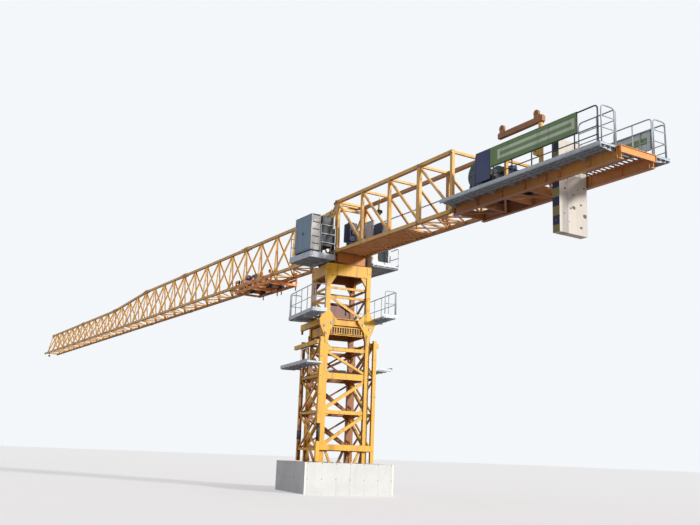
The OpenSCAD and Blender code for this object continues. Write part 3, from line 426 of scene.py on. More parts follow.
for material, members in LOOKS.items():
    for member in members:
        NODES[member].data.materials.clear()
        NODES[member].data.materials.append(material)


# modelling helpers

def piece(name, work, material, body="slewing_part", replaces=(), place=None, smooth=False):
    """Turns the bmesh into a named piece on its body, drawn from that body's own place if none is given."""
    bmesh.ops.transform(work, matrix=place or BODY_PLACES.get(body, Matrix()), verts=work.verts)
    bmesh.ops.recalc_face_normals(work, faces=work.faces)
    mesh = bpy.data.meshes.new(name)
    for face in work.faces:
        face.smooth = smooth and len(face.verts) == 4
    work.to_mesh(mesh)
    work.free()
    made = bpy.data.objects.new(name, mesh)
    bpy.context.scene.collection.objects.link(made)
    mesh.materials.append(material)
    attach(made, body)
    if replaces:
        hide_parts(*replaces)


def meshes(count):
    return [bmesh.new() for _ in range(count)]


def block(work, corner, opposite, bevel=0.0, place=None):
    """A box by two opposite corners in metres, with its edges bevelled if asked."""
    corner, opposite = Vector(corner), Vector(opposite)
    size = [abs(part) for part in opposite - corner]
    matrix = Matrix.Translation((corner + opposite) / 2) @ Matrix.Diagonal((*size, 1))
    made = bmesh.ops.create_cube(work, size=1, matrix=place @ matrix if place else matrix)["verts"]
    if bevel:
        edges = list({edge for vert in made for edge in vert.link_edges})
        bmesh.ops.bevel(work, geom=edges, offset=bevel, offset_type="OFFSET", segments=1, profile=0.5,
                        affect="EDGES", material=-1)
    return made


def aimed(at, axis):
    """A placement at a point with its Z along axis."""
    return Matrix.Translation(at) @ Vector(UP).rotation_difference(Vector(axis)).to_matrix().to_4x4()


def turned(at, angle, axis):
    """A placement at a point, turned about X, Y or Z."""
    return Matrix.Translation(at) @ Matrix.Rotation(angle, 4, axis)


def rod(work, start, end, radius, sides=12):
    start, end = Vector(start), Vector(end)
    bmesh.ops.create_cone(work, cap_ends=True, segments=sides, radius1=radius, radius2=radius,
                          depth=(end - start).length, matrix=aimed((start + end) / 2, end - start))


def bolt(work, at, axis, size):
    """A hexagon head on its washer, standing on a face."""
    at, axis = Vector(at), Vector(axis).normalized()
    rod(work, at, at + axis * size * 0.22, size * 1.15, 12)
    rod(work, at + axis * size * 0.22, at + axis * size * 0.95, size * 0.85, 6)


def bolt_grid(work, middle, along, across, normal, count, pitch, size):
    """Bolt heads in rows on a flat face."""
    along, across = Vector(along), Vector(across)
    for i in range(count[0]):
        for j in range(count[1]):
            at = (Vector(middle) + along * (i - (count[0] - 1) / 2) * pitch[0]
                  + across * (j - (count[1] - 1) / 2) * pitch[1])
            bolt(work, at, normal, size)


def ring_of_bolts(work, middle, axis, radius, count, size):
    place = aimed(Vector(middle), axis)
    for i in range(count):
        a = math.tau * i / count
        bolt(work, place @ Vector((radius * math.cos(a), radius * math.sin(a), 0)), axis, size)


def pin(work, at, axis, half, radius):
    """A pin through two plates, with a head at each end."""
    at, axis = Vector(at), Vector(axis).normalized()
    rod(work, at - axis * half, at + axis * half, radius, 16)
    for end in SIDES:
        rod(work, at + axis * end * (half - 0.006), at + axis * end * (half + 0.004), radius * 1.35, 16)


def rounded(points, radius, steps=4):
    """The path with each corner turned into a bend."""
    points = [Vector(p) for p in points]
    path = [points[0]]
    for before, corner, after in zip(points, points[1:], points[2:]):
        reach = min(radius, (corner - before).length / 2, (after - corner).length / 2)
        first = corner + (before - corner).normalized() * reach
        last = corner + (after - corner).normalized() * reach
        for i in range(steps + 1):
            t = i / steps
            path.append(first * (1 - t) ** 2 + corner * 2 * t * (1 - t) + last * t ** 2)
    return path + [points[-1]]


def tube(work, points, radius, sides=8):
    """A pipe along a path, its round end drawn out and turned from point to point."""
    points = [Vector(p) for p in points]
    runs = [(b - a).normalized() for a, b in zip(points, points[1:])]
    ring = bmesh.ops.create_circle(work, cap_ends=False, segments=sides, radius=radius,
                                   matrix=aimed(points[0], runs[0]))["verts"]
    edges = list({edge for vert in ring for edge in vert.link_edges})
    bmesh.ops.contextual_create(work, geom=edges)
    heading = runs[0]
    for i in range(1, len(points)):
        turn_to = runs[i - 1] if i == len(points) - 1 else (runs[i - 1] + runs[i]).normalized()
        turn = heading.rotation_difference(turn_to).to_matrix().to_4x4()
        grown = bmesh.ops.extrude_edge_only(work, edges=edges)["geom"]
        ring = [item for item in grown if isinstance(item, bmesh.types.BMVert)]
        edges = [item for item in grown if isinstance(item, bmesh.types.BMEdge)]
        bmesh.ops.transform(work, verts=ring, matrix=Matrix.Translation(points[i]) @ turn
                            @ Matrix.Translation(-points[i - 1]))
        edges = [edge for edge in edges if all(vert in ring for vert in edge.verts)]
        heading = turn_to
    bmesh.ops.contextual_create(work, geom=edges)


def hoop(work, at, radius, thick, turns=32, sides=6, axis=(0, 1, 0)):
    """A round ring of wire about an axis, which is Y unless told otherwise."""
    place = aimed(at, axis)
    side, along = (place.to_3x3() @ Vector(way) for way in ((1, 0, 0), (0, 1, 0)))
    ring = bmesh.ops.create_circle(work, cap_ends=False, segments=sides, radius=thick,
                                   matrix=aimed(Vector(at) + side * radius, along))["verts"]
    edges = list({edge for vert in ring for edge in vert.link_edges})
    bmesh.ops.spin(work, geom=ring + edges, cent=at, axis=Vector(axis).normalized(), angle=math.tau,
                   steps=turns, use_merge=True)


def hoops(work, at, count, pitch, *sizes):
    """Rings side by side about a line along Y, as rope lies on a drum."""
    for i in range(count):
        hoop(work, (at[0], at[1] + (i - (count - 1) / 2) * pitch, at[2]), *sizes)


# railings

def rail_run(work, start, end, height, posts, mids, bend=0.05, pipe=0.011):
    """A pipe railing: one pipe bent down into both end posts, lower rails and posts between."""
    start, end = Vector(start), Vector(end)
    up = Vector(UP)
    top = up * (height - pipe)
    tube(work, rounded([start, start + top, end + top, end], bend), pipe, 8)
    for share in mids:
        rod(work, start + up * height * share, end + up * height * share, pipe * 0.75, 8)
    for i in range(posts):
        foot = start.lerp(end, i / (posts - 1))
        block(work, foot - Vector((0.03, 0.018, 0)), foot + Vector((0.03, 0.018, 0.008)))
        if 0 < i < posts - 1:
            rod(work, foot, foot + top, pipe * 0.85, 8)


def railings():
    # the left railing takes the darkened steel: painted shade
    for name, side, start, posts, steel in (("left_railing", 1, -5.535, 7, SHADED_RAILING_ZINC),
                                            ("right_railing", -1, -4.59, 9, ZINC)):
        work = bmesh.new()
        y = side * (WALK_HALF - 0.019)
        rail_run(work, (WALK_ENDS[side] + 0.06, y, GIRDER_TOP), (start, y, GIRDER_TOP), WALK_RAIL, posts,
                 (0.22, 0.44), bend=0.07, pipe=0.0125)
        piece(name + "_pipes", work, steel, replaces=[name], smooth=True)
    inner, service = meshes(2)
    for side in SIDES:
        rear = WALK_ENDS[side]
        for x0, x1, y0, y1, posts in ((0.03, 0.75, GIRDER_Y, GIRDER_Y, 3), (0.025, 0.025, 0.377, 0.652, 2)):
            rail_run(inner, (rear + x0, side * y0, GIRDER_TOP), (rear + x1, side * y1, GIRDER_TOP),
                     WALK_RAIL, posts, (0.4, 0.7), bend=0.07)
        for x0, x1, y0, y1, posts in ((-0.94, 0.665, 0.96, 0.96, 5), (-0.96, -0.96, 0.688, 0.928, 2),
                                      (0.685, 0.685, 0.688, 0.928, 2)):
            rail_run(service, (x0, side * y0, SERVICE_DECK), (x1, side * y1, SERVICE_DECK), 0.57, posts,
                     (0.5,))
    piece("inner_railing_pipes", inner, ZINC, replaces=["inner_railings"], smooth=True)
    piece("service_railing_pipes", service, ZINC, "tower", replaces=["service_railing"], smooth=True)


# gratings

def bars_on(work, start, end, top, pitch=0.05):
    """Grating bars across a deck from one corner to the other, standing a little proud of it."""
    height, width = 0.006, 0.008
    count = max(2, int((end[0] - start[0]) / pitch))
    for i in range(count + 1):
        x = start[0] + (end[0] - start[0]) * i / count
        block(work, (x - width / 2, start[1], top), (x + width / 2, end[1], top + height))


def gratings():
    walks, tower, upper, rear = meshes(4)
    for side in SIDES:
        bars_on(walks, (WALK_ENDS[side], side * 0.39), (WALK_START, side * 0.69), GIRDER_TOP)
        bars_on(tower, (-0.96, side * 0.66), (0.69, side * 0.965), SERVICE_DECK)
    for start, end in (((-0.84, 0.7), (1.04, 0.99)), ((-0.29, -1.19), (1.04, -0.7)),
                       ((0.7, -0.63), (1.04, 0.63))):
        bars_on(tower, start, end, CAGE_DECK)
    bars_on(upper, (-0.7, -1.08), (0.465, -0.41), CAB_DECK, 0.045)
    bars_on(upper, (-0.365, 0.41), (0.59, 1.02), CABINET_DECK, 0.045)
    reach = GIRDER_IN - 0.03
    for i in range(13):
        x = -8.31 + i * 0.088
        block(rear, (x, -reach, GIRDER_TOP - 0.026), (x + 0.035, reach, GIRDER_TOP - 0.02))
    piece("walkway_gratings", walks, ZINC)
    piece("tower_gratings", tower, ZINC, "tower")
    piece("turntable_gratings", upper, ZINC)
    piece("rear_floor_flats", rear, DARK_STEEL)


# cabinets

def louvred_end(work, blades, low, high, slots, outward):
    """An end of a cabinet: panels between dark slots, with a slanted blade over each slot."""
    edge, deep = 0.03, 0.018
    face = (high if outward > 0 else low)[0]
    back = face - outward * deep
    step = (high[2] - low[2]) / slots
    for i in range(slots + 1):
        foot = low[2] + (i - 0.06) * step if i else low[2]
        head = low[2] + (i + 0.78) * step if i < slots else high[2]
        block(work, (back, low[1] + edge, foot), (face, high[1] - edge, head), 0.002)
    for i in range(slots):
        middle = (face - outward * 0.006, 0, low[2] + (i + 0.94) * step)
        tilt = turned(middle, outward * math.radians(28), "Y")
        block(blades, (-0.002, low[1] + edge, -0.022), (0.002, high[1] - edge, 0), place=tilt)
    for y in (low[1], high[1] - edge):
        block(work, (back, y, low[2]), (face, y + edge, high[2]), 0.002)


def door(work, trim, low, high, y, hinge):
    """A door leaf on a cabinet's long side, from low to high in X and Z, with two hinges and a handle."""
    block(work, (low[0], y, low[1]), (high[0], y + 0.006, high[1]), 0.003)
    side, far = (low[0], high[0]) if hinge < 0 else (high[0], low[0])
    for share in (0.15, 0.85):
        z = low[1] + (high[1] - low[1]) * share
        rod(trim, (side, y + 0.007, z - 0.02), (side, y + 0.007, z + 0.02), 0.006, 8)
    x, z = far + hinge * 0.03, (low[1] + high[1]) / 2
    block(trim, (x - 0.008, y, z - 0.035), (x + 0.008, y + 0.012, z + 0.035), 0.003)


def cabinets():
    outer, outer_ends, inner, inner_ends, blades, box, trim = meshes(7)
    low, high = (-0.355, 0.79, 5.175), (0.4, 1.02, 5.985)
    front = high[1] - 0.006
    block(outer, (low[0] + 0.018, low[1], low[2]), (high[0] - 0.018, front, high[2] - 0.012))
    block(outer, (low[0] - 0.002, low[1], high[2] - 0.011),
          (high[0] + 0.002, high[1], high[2] + 0.001), 0.004)
    for first, last, hinge in ((low[0] + 0.022, 0.018, -1), (0.024, high[0] - 0.022, 1)):
        door(outer, trim, (first, low[2] + 0.03), (last, high[2] - 0.03), front, hinge)
    for outward in SIDES:
        louvred_end(outer_ends, blades, low, high, 5, outward)
    for x in (-0.34, 0.33):
        block(trim, (x, 0.81, CABINET_DECK), (x + 0.06, 1.0, 5.18), 0.002)
    low, high = (-0.34, 0.47, 5.3), (0.3, 0.74, 5.975)
    block(inner, (low[0] + 0.018, low[1], low[2]), (high[0] - 0.018, high[1], high[2] - 0.01))
    block(inner, (low[0] - 0.002, low[1] - 0.002, high[2] - 0.009),
          (high[0] + 0.002, high[1] + 0.002, high[2] + 0.001), 0.004)
    for outward in SIDES:
        louvred_end(inner_ends, blades, low, high, 4, outward)
    for x in (-0.33, 0.25):
        for y in (0.48, 0.7):
            block(trim, (x, y, CABINET_DECK), (x + 0.04, y + 0.03, 5.305), 0.002)
    low, high = (-0.94, -0.31, FLOOR_TOP), (-0.6, -0.19, 5.905)
    front = high[1] - 0.006
    block(box, low, (high[0], front, high[2] - 0.002), 0.006)
    door(box, trim, (low[0] + 0.02, low[2] + 0.04), (high[0] - 0.02, high[2] - 0.04), front, -1)
    block(box, (low[0] - 0.002, low[1], high[2] - 0.002), (high[0] + 0.002, high[1] + 0.006, high[2]))
    for i in range(4):
        x, y = low[0] + 0.06 + i * 0.07, low[1] + 0.05
        rod(trim, (x, y, low[2] - 0.03), (x, y, low[2] + 0.01), 0.012, 10)
    # the long sides and louvre blades take the shaded cabinet grey, the ends the light grey: painted shade
    piece("outer_cabinet", outer, SHADED_CABINET_GREY, replaces=["electric_cabinets"])
    piece("outer_cabinet_ends", outer_ends, LIGHT_GREY)
    piece("inner_cabinet", inner, SHADED_CHARCOAL)
    piece("inner_cabinet_ends", inner_ends, SHADED_CHARCOAL)
    piece("cabinet_louvres", blades, SHADED_CABINET_GREY)
    piece("truss_cabinet", box, WHITE)
    piece("cabinet_fittings", trim, DARK_STEEL)


# jib, truss and girders

def jib_height(bays):
    """Height of the jib's top chord at that many bays from its root."""
    rise = CHORD_LOW + OUTER_RISE - CHORD_HIGH
    return CHORD_HIGH + rise * min(max(bays - 14, 0), 4) / 4


def jib_joints():
    pins, lugs = meshes(2)
    for k in JIB_ENDS[:-1]:
        x, z = JIB_START + k * JIB_BAY, jib_height(k)
        for step in SIDES if k else (1,):
            pin(pins, (x + step * 0.075, 0, z), (0, 1, 0), 0.056, 0.022)
            for y in (-JIB_HALF, JIB_HALF):
                pin(pins, (x + step * 0.08, y, CHORD_LOW), (0, 1, 0), 0.046, 0.016)
        for y in (-JIB_HALF, JIB_HALF):
            for s in (-0.036, 0.036):
                block(lugs, (x - 0.14 if k else x, y + s - 0.004, CHORD_LOW - 0.03),
                      (x + 0.14, y + s + 0.004, CHORD_LOW + 0.03), 0.002)
    piece("jib_pins", pins, BOLT_STEEL)
    piece("jib_joint_plates", lugs, YELLOW)


def jib_gussets():
    """Small plates where the jib's web bars meet the chords, and the stop at its tip."""
    work, stop = meshes(2)
    for k in range(JIB_ENDS[-1] + 1):
        x = JIB_START + k * JIB_BAY
        for side in SIDES:
            lean = turned((x, side * 0.012, jib_height(k) - 0.035), side * 0.24, "X")
            left, right = (-0.07 if k else 0.0), (0.07 if k < JIB_ENDS[-1] else -0.002)
            block(work, (left, -0.004, -0.07), (right, 0.004, 0.005), 0.001, lean)
            if k < JIB_ENDS[-1]:
                middle, upright, flat = x + JIB_BAY / 2, side * 0.275, side * 0.25
                block(work, (middle - 0.09, upright - 0.004, CHORD_LOW + 0.028),
                      (middle + 0.09, upright + 0.004, CHORD_LOW + 0.09), 0.002)
                block(work, (middle - 0.05, flat - 0.03, CHORD_LOW - 0.006),
                      (middle + 0.05, flat + 0.03, CHORD_LOW + 0.002), 0.001)
    block(stop, (28.18, -0.3, CHORD_LOW - 0.006), (28.3, 0.3, CHORD_LOW + 0.02), 0.003)
    rod(stop, (28.24, 0.12, CHORD_LOW - 0.09), (28.24, 0.12, CHORD_LOW), 0.012, 10)
    block(stop, (28.19, 0.08, CHORD_LOW - 0.15), (28.29, 0.16, CHORD_LOW - 0.08), 0.01)
    piece("jib_gussets", work, YELLOW)
    piece("jib_end_stop", stop, DARK_STEEL)


def truss_fittings():
    """Bolts and pins of the truss, the lamp on its bracket and the clips of the handrails."""
    steel, plates, dark, front = meshes(4)
    for side in SIDES:
        y, face = side * TRUSS_HALF, side * (TRUSS_HALF + CHORD / 2)
        for i in range(5):
            x = TRUSS_START - i * TRUSS_BAY
            if i in (0, 3, 4):
                for z in (CHORD_HIGH, CHORD_LOW):
                    block(plates, (x - (0.075 if i < 4 else 0.03), face - 0.001 * side, z - 0.028),
                          (x + 0.06, face + 0.007 * side, z + 0.028), 0.002)
                    pin(steel, (x, y, z), (0, 1, 0), 0.05, 0.02)
            bolt_grid(steel, (x, y + side * 0.008, CHORD_LOW + 0.075), (1, 0, 0), UP, (0, side, 0), (2, 1),
                      (0.14 if i else 0.19, 0), 0.009)
        for x, z in ((JIB_START - 0.06, CHORD_LOW), (TRUSS_START + 0.02, CHORD_HIGH)):
            pin(steel, (x, y, z), (0, 1, 0), 0.052, 0.022)
        lug = turned((TRUSS_START + 0.05, y, CHORD_HIGH - 0.005), math.radians(38), "Y")
        for edge in (-0.052, 0.044):
            block(dark, (-0.06, edge, -0.03), (0.08, edge + 0.008, 0.03), 0.004, lug)
    for i in range(9):
        x = -4.42 + i * 0.5
        for z in (5.56, 5.84):
            block(dark, (x - 0.012, -0.3297, z - 0.014), (x + 0.012, -0.305, z + 0.014), 0.002)
    lamp = turned((-1.065, -0.27, 6.08), math.radians(24), "Y")
    block(dark, (-0.075, -0.055, -0.05), (0.065, 0.055, 0.018), 0.01, lamp)
    for i in range(5):
        block(dark, (-0.05 + i * 0.022, -0.05, 0.014), (-0.043 + i * 0.022, 0.05, 0.034), place=lamp)
    block(front, (-0.06, -0.045, -0.056), (0.05, 0.045, -0.049), 0.002, lamp)
    piece("truss_bolts", steel, BOLT_STEEL)
    piece("truss_joint_plates", plates, YELLOW)
    piece("lamp_and_clips", dark, DARK_STEEL)
    piece("lamp_front", front, LAMP_GLASS)


def girder_frames():
    """Beams and flats between the girders, edge bars of the rear floor, and the channel across the end."""
    work = bmesh.new()
    low, thin = GIRDER_TOP - GIRDER_DEPTH + 0.02, 0.017
    for x in GIRDER_JOINTS[:5]:
        block(work, (x - 0.025, -GIRDER_IN, low), (x + 0.025, GIRDER_IN, GIRDER_TOP - 0.04), 0.002)
    side = GIRDER_IN - 0.02
    for first, last in zip(GIRDER_JOINTS[:4], GIRDER_JOINTS[1:5]):
        angle = math.atan2(-2 * side, last - first)
        place = turned((first, side, low + 0.02), angle, "Z")
        block(work, (0, -thin, -thin), (math.hypot(last - first, 2 * side), thin, thin), 0.002, place)
        side = -side
    rear, front = GIRDER_END + 0.05, GIRDER_JOINTS[5] - 0.06
    for side in SIDES:
        for near, far, foot, head in ((GIRDER_IN - 0.045, GIRDER_IN, 0.034, 0.026),
                                      (0.09, 0.13, 0.034, 0.026),
                                      (GIRDER_IN - 0.006, GIRDER_IN, 0.026, 0.014)):
            block(work, (rear, side * near, GIRDER_TOP - foot), (front, side * far, GIRDER_TOP - head))
    channel = block(work, (COUNTER_END, -GIRDER_OUT, GIRDER_TOP - 0.112),
                    (GIRDER_END, GIRDER_OUT, GIRDER_TOP))
    faces = {face for vert in channel for face in vert.link_faces}
    back = min(faces, key=lambda face: face.calc_center_median().x)
    bmesh.ops.inset_region(work, faces=[back], thickness=0.012)
    hollow = bmesh.ops.extrude_discrete_faces(work, faces=[back])["faces"][0]
    bmesh.ops.translate(work, verts=list(hollow.verts), vec=(0.016, 0, 0))
    piece("girder_frames", work, GIRDER_YELLOW, replaces=["girder_cross_beams"])


def girder_fittings():
    """Bolts of the girders, stringers and clips under the walkways, and the boards' edges."""
    steel, stringers, edges = meshes(3)
    for side in SIDES:
        for x in GIRDER_JOINTS:
            for z in (GIRDER_TOP - 0.05, GIRDER_TOP - GIRDER_DEPTH + 0.05):
                bolt(steel, (x + 0.04, side * (GIRDER_Y + 0.006), z), (0, side, 0), 0.01)
        rear, top = WALK_ENDS[side], GIRDER_TOP - 0.024
        for y in (0.49, 0.6, 0.685):
            block(stringers, (rear + 0.01, side * y, top - 0.026),
                  (WALK_START - 0.01, side * (y + 0.012), top))
        for i in range(24):
            x = rear + 0.08 + i * (WALK_START - rear - 0.16) / 23
            block(stringers, (x, side * 0.395, top - 0.02), (x + 0.014, side * 0.69, top))
        for i in range(8):
            x = rear + 0.072 + i * (WALK_START - rear - 0.12) / 7
            bolt(steel, (x, side * (GIRDER_Y + 0.044), GIRDER_TOP - 0.055), (1, 0, 0), 0.008)
    thick = 0.012
    for first, last, side, bottom in ((-7.89, -5.932, 1, 5.583), (-8.07, -6.11, -1, 5.583),
                                      (-5.93, -5.565, 1, 5.385)):
        y = side * 0.7045
        inside, outside = y - side * 0.008, y + side * 0.007
        for z in (bottom, BOARD_TOP - thick):
            block(edges, (first, inside, z), (last, outside, z + thick), 0.002)
        for x in (first, last - thick):
            block(edges, (x, inside, bottom), (x + thick, outside, BOARD_TOP), 0.002)
        count = max(2, round((last - first) / 0.5))
        for i in range(count):
            x = first + 0.06 + i * (last - first - 0.12) / (count - 1)
            for z in (bottom + 0.03, BOARD_TOP - 0.031):
                bolt(edges, (x, y, z), (0, side, 0), 0.006)
    piece("girder_bolts", steel, BOLT_STEEL)
    piece("walkway_stringers", stringers, ZINC)
    piece("board_edges", edges, DARK_STEEL)


# winch, derrick and ballast

def drum_details():
    """Rope and flange ribs, drawn round the drum's own middle."""
    rope, steel = meshes(2)
    thick, turns = 0.0075, 27
    hoops(rope, (0, 0, 0), turns, 0.4 / turns, 0.15 + thick, thick, 40)
    for out in SIDES:
        y = out * 0.235
        hoop(steel, (0, y - out * 0.01, 0), 0.246, 0.008, 64, 8)
        ring_of_bolts(steel, (0, y, 0), (0, out, 0), 0.075, 10, 0.009)
        for i in range(8):
            rib = turned((0, y, 0), math.tau * i / 8, "Y")
            block(steel, (0.1, 0, -0.005), (0.235, out * 0.008, 0.005), place=rib)
    piece("drum_rope", rope, ROPE_STEEL, "drum", smooth=True)
    piece("drum_flange_details", steel, TEAL, "drum", smooth=True)


def motor_details():
    """Fins, fan guard and coupling of the motor, and the bolts and gussets of the winch frame."""
    fins, dark, steel = meshes(3)
    x, z, guard, base = MOTOR_X, MOTOR_Z, -0.346, GIRDER_TOP + 0.0605
    for i in range(28):
        rib = turned((x, -0.12, z), math.tau * i / 28, "Y")
        block(fins, (0.106, -0.17, -0.0025), (0.122, 0.17, 0.0025), place=rib)
    block(fins, (x - 0.07, -0.19, z + 0.1), (x + 0.05, -0.05, z + 0.165), 0.008)
    for y in (-0.325, -0.288, 0.055, 0.09):
        hoop(fins, (x, y, z), 0.11, 0.006, 40)
    for i in range(6):
        hoop(dark, (x, guard, z), 0.015 + i * 0.013, 0.002, 24, 4)
    for i in range(4):
        spoke = turned((x, guard, z), math.pi * i / 4, "Y")
        block(dark, (-0.082, -0.0015, -0.002), (0.082, 0.0015, 0.002), place=spoke)
    rod(dark, (x, 0.09, z), (x, 0.135, z), 0.085, 32)
    rod(dark, (x, 0.135, z), (x, 0.19, z), 0.03, 20)
    rod(dark, (-5.3, 0.2, 5.4), (-5.3, 0.2, 5.6), 0.028, 20)
    block(dark, (-5.35, 0.165, 5.383), (-5.25, 0.235, 5.41), 0.004)
    ring_of_bolts(steel, (x, 0.06, z), (0, 1, 0), 0.1, 8, 0.007)
    bolt_grid(steel, (x, -0.1, base), (1, 0, 0), (0, 1, 0), UP, (2, 2), (0.18, 0.24), 0.011)
    for side in SIDES:
        hub = (WINCH_X, side * 0.2755, WINCH_Z)
        ring_of_bolts(steel, hub, (0, side, 0), 0.055, 6, 0.008)
        hoop(dark, hub, 0.036, 0.008)
        for cx in (-0.17, 0.17):
            bolt_grid(steel, (WINCH_X + cx, side * 0.31, base), (1, 0, 0), (0, 1, 0), UP, (2, 1), (0.07, 0),
                      0.011)
        for cx in (-5.86, -5.5, -5.3, -4.76):
            bolt(steel, (cx, side * GIRDER_Y, base), UP, 0.012)
        for cx, head in ((-0.12, 5.62), (0.0, 5.72), (0.12, 5.62)):
            block(dark, (WINCH_X + cx - 0.006, side * 0.275, GIRDER_TOP + 0.06),
                  (WINCH_X + cx + 0.006, side * 0.285, head))
    piece("motor_fins", fins, DARK_BLUE, smooth=True)
    piece("winch_dark_parts", dark, DARK_STEEL, smooth=True)
    piece("winch_bolts", steel, BOLT_STEEL)


def derrick_details():
    """Pins and sheave rims, drawn from the foot of the beam on its post, then the post's own fittings."""
    pins, dark, steel, rope, post = meshes(5)
    for x in (0.09, 0.93):
        for side in SIDES:
            hoop(dark, (x, side * 0.014, 0.185), 0.053, 0.004, 40)
            bolt(pins, (x, side * 0.029, 0.185), (0, side, 0), 0.014)
    block(dark, (1.008, -0.027, 0.016), (1.01, 0.027, 0.094))
    for z in (0.001, 0.118):
        hoop(dark, (0, 0, z), 0.053, 0.003, 40, axis=UP)
    piece("derrick_pins", pins, BOLT_STEEL, "derrick")
    piece("derrick_sheave_rims", dark, DARK_STEEL, "derrick", smooth=True)
    foot = Matrix.Translation((DERRICK_X, GIRDER_Y, GIRDER_TOP + 0.0203))
    bolt_grid(steel, (0, 0, 0), (1, 0, 0), (0, 1, 0), UP, (2, 2), (0.096, 0.056), 0.009)
    for a in range(4):
        rib = Matrix.Rotation(math.tau * (a + 0.5) / 4, 4, "Z")
        block(post, (0.03, -0.004, -0.002), (0.052, 0.004, 0.07), place=rib)
    reel = (0.095, 0, 0.38)
    hoops(rope, reel, 5, 0.01, 0.06, 0.005)
    for side in SIDES:
        hoop(post, (reel[0], side * 0.029, reel[2]), 0.062, 0.006, 40)
        bolt(steel, (reel[0], side * 0.03, reel[2]), (0, side, 0), 0.013)
    for z in (0.12, 0.62):
        hoop(post, (0, 0, z), 0.038, 0.005, axis=UP)
    piece("derrick_foot_bolts", steel, BOLT_STEEL, place=foot)
    piece("derrick_rope", rope, ROPE_STEEL, place=foot, smooth=True)
    piece("derrick_post_ribs", post, YELLOW, place=foot, smooth=True)


def ballast_details():
    """Lifting eyes on the slab, and the plates and bolts of the feet that hang it on the girders."""
    steel = bmesh.new()
    low, high = GIRDER_TOP + 0.49, GIRDER_TOP + 0.56
    for y in (-0.18, 0.18):
        near, far = y - 0.035, y + 0.035
        loop = [(BALLAST_X, *end) for end in ((near, low), (near, high), (far, high), (far, low))]
        tube(steel, rounded(loop, 0.03), 0.008, 8)
    for side in SIDES:
        for x in (BALLAST_X - 0.036, BALLAST_X + 0.031):
            block(steel, (x, side * 0.306, GIRDER_TOP), (x + 0.005, side * 0.383, GIRDER_TOP + 0.06), 0.001)
        bolt(steel, (BALLAST_X, side * GIRDER_Y, GIRDER_TOP + 0.06), UP, 0.014)
    piece("ballast_eyes", steel, DARK_STEEL, smooth=True)


# turntable, mast and cage

def turntable_details():
    """Bolts of the slewing ring, ribs of the turntable, and fins of the two slewing drives."""
    steel, ribs, fixed, motors = meshes(4)
    ring_of_bolts(fixed, (0, 0, SUPPORT_TOP + 0.02), UP, 0.438, 48, 0.007)
    for side in SIDES:
        for x in (-0.3, -0.15, 0.15, 0.3):
            block(ribs, (x - 0.005, side * 0.3195, 4.985), (x + 0.005, side * 0.356, 5.153))
        for i in range(9):
            bolt(steel, (-0.4 + i * 0.1, side * 0.338, 4.985), UP, 0.008)
    y, base = DRIVE_Y, FLOOR_TOP
    for x in SLEWING_DRIVES:
        ring_of_bolts(steel, (x, y, base + 0.19), UP, 0.075, 10, 0.008)
        hoop(ribs, (x, y, base + 0.012), 0.09, 0.01, 40, axis=UP)
        for i in range(9):
            z = base + 0.2 + i * 0.032
            block(motors, (x - 0.134, y - 0.094, z), (x + 0.134, y + 0.094, z + 0.007))
        rod(motors, (x, y, base + 0.58), (x, y, base + 0.615), 0.075, 32)
        block(motors, (x - 0.17, y - 0.04, base + 0.3), (x - 0.12, y + 0.06, base + 0.42), 0.006)
    piece("fixed_ring_bolts", fixed, BOLT_STEEL, "tower", place=Matrix())
    piece("turntable_ribs", ribs, YELLOW, smooth=True)
    piece("turntable_bolts", steel, BOLT_STEEL)
    piece("slewing_motor_fins", motors, DARK_BLUE, smooth=True)


def tower_side(quarter):
    """The turn to one side of the tower, with that side's outward and level directions."""
    turn = Matrix.Rotation(quarter * math.tau / 4, 4, "Z")
    return turn, turn.to_3x3() @ Vector((0, -1, 0)), turn.to_3x3() @ Vector((1, 0, 0))


def mast_details():
    steel, plates = meshes(2)
    leg, outer, foot = MAST_HALF - MAST_LEG / 2 - 0.04, MAST_HALF + MAST_LEG / 2, PLINTH_TOP + 0.012
    for turn, outward, _ in map(tower_side, range(4)):
        for side in SIDES:
            for z in MAST_LEVELS:
                for dz in (-0.075, 0.075):
                    bolt(steel, turn @ Vector((side * leg, -MAST_HALF - 0.008, z + dz)), outward, 0.011)
            x = side * MAST_HALF
            block(plates, (x - 0.036, -outer - 0.008, MAST_TOP - 0.13), (x + 0.036, -outer, MAST_TOP + 0.13),
                  0.002, turn)
            for z in (-0.085, 0.085):
                pin(steel, turn @ Vector((x, -outer, MAST_TOP + z)), outward, 0.014, 0.015)
            block(plates, (x - 0.075, -MAST_HALF - 0.075, PLINTH_TOP), (x + 0.075, -MAST_HALF + 0.075, foot),
                  0.002, turn)
    for x in (-MAST_HALF, MAST_HALF):
        for y in (-MAST_HALF, MAST_HALF):
            bolt_grid(steel, (x, y, foot), (1, 0, 0), (0, 1, 0), UP, (2, 2), (0.124, 0.124), 0.012)
    piece("mast_bolts", steel, BOLT_STEEL, "tower")
    piece("mast_joint_plates", plates, MAST_YELLOW, "tower")


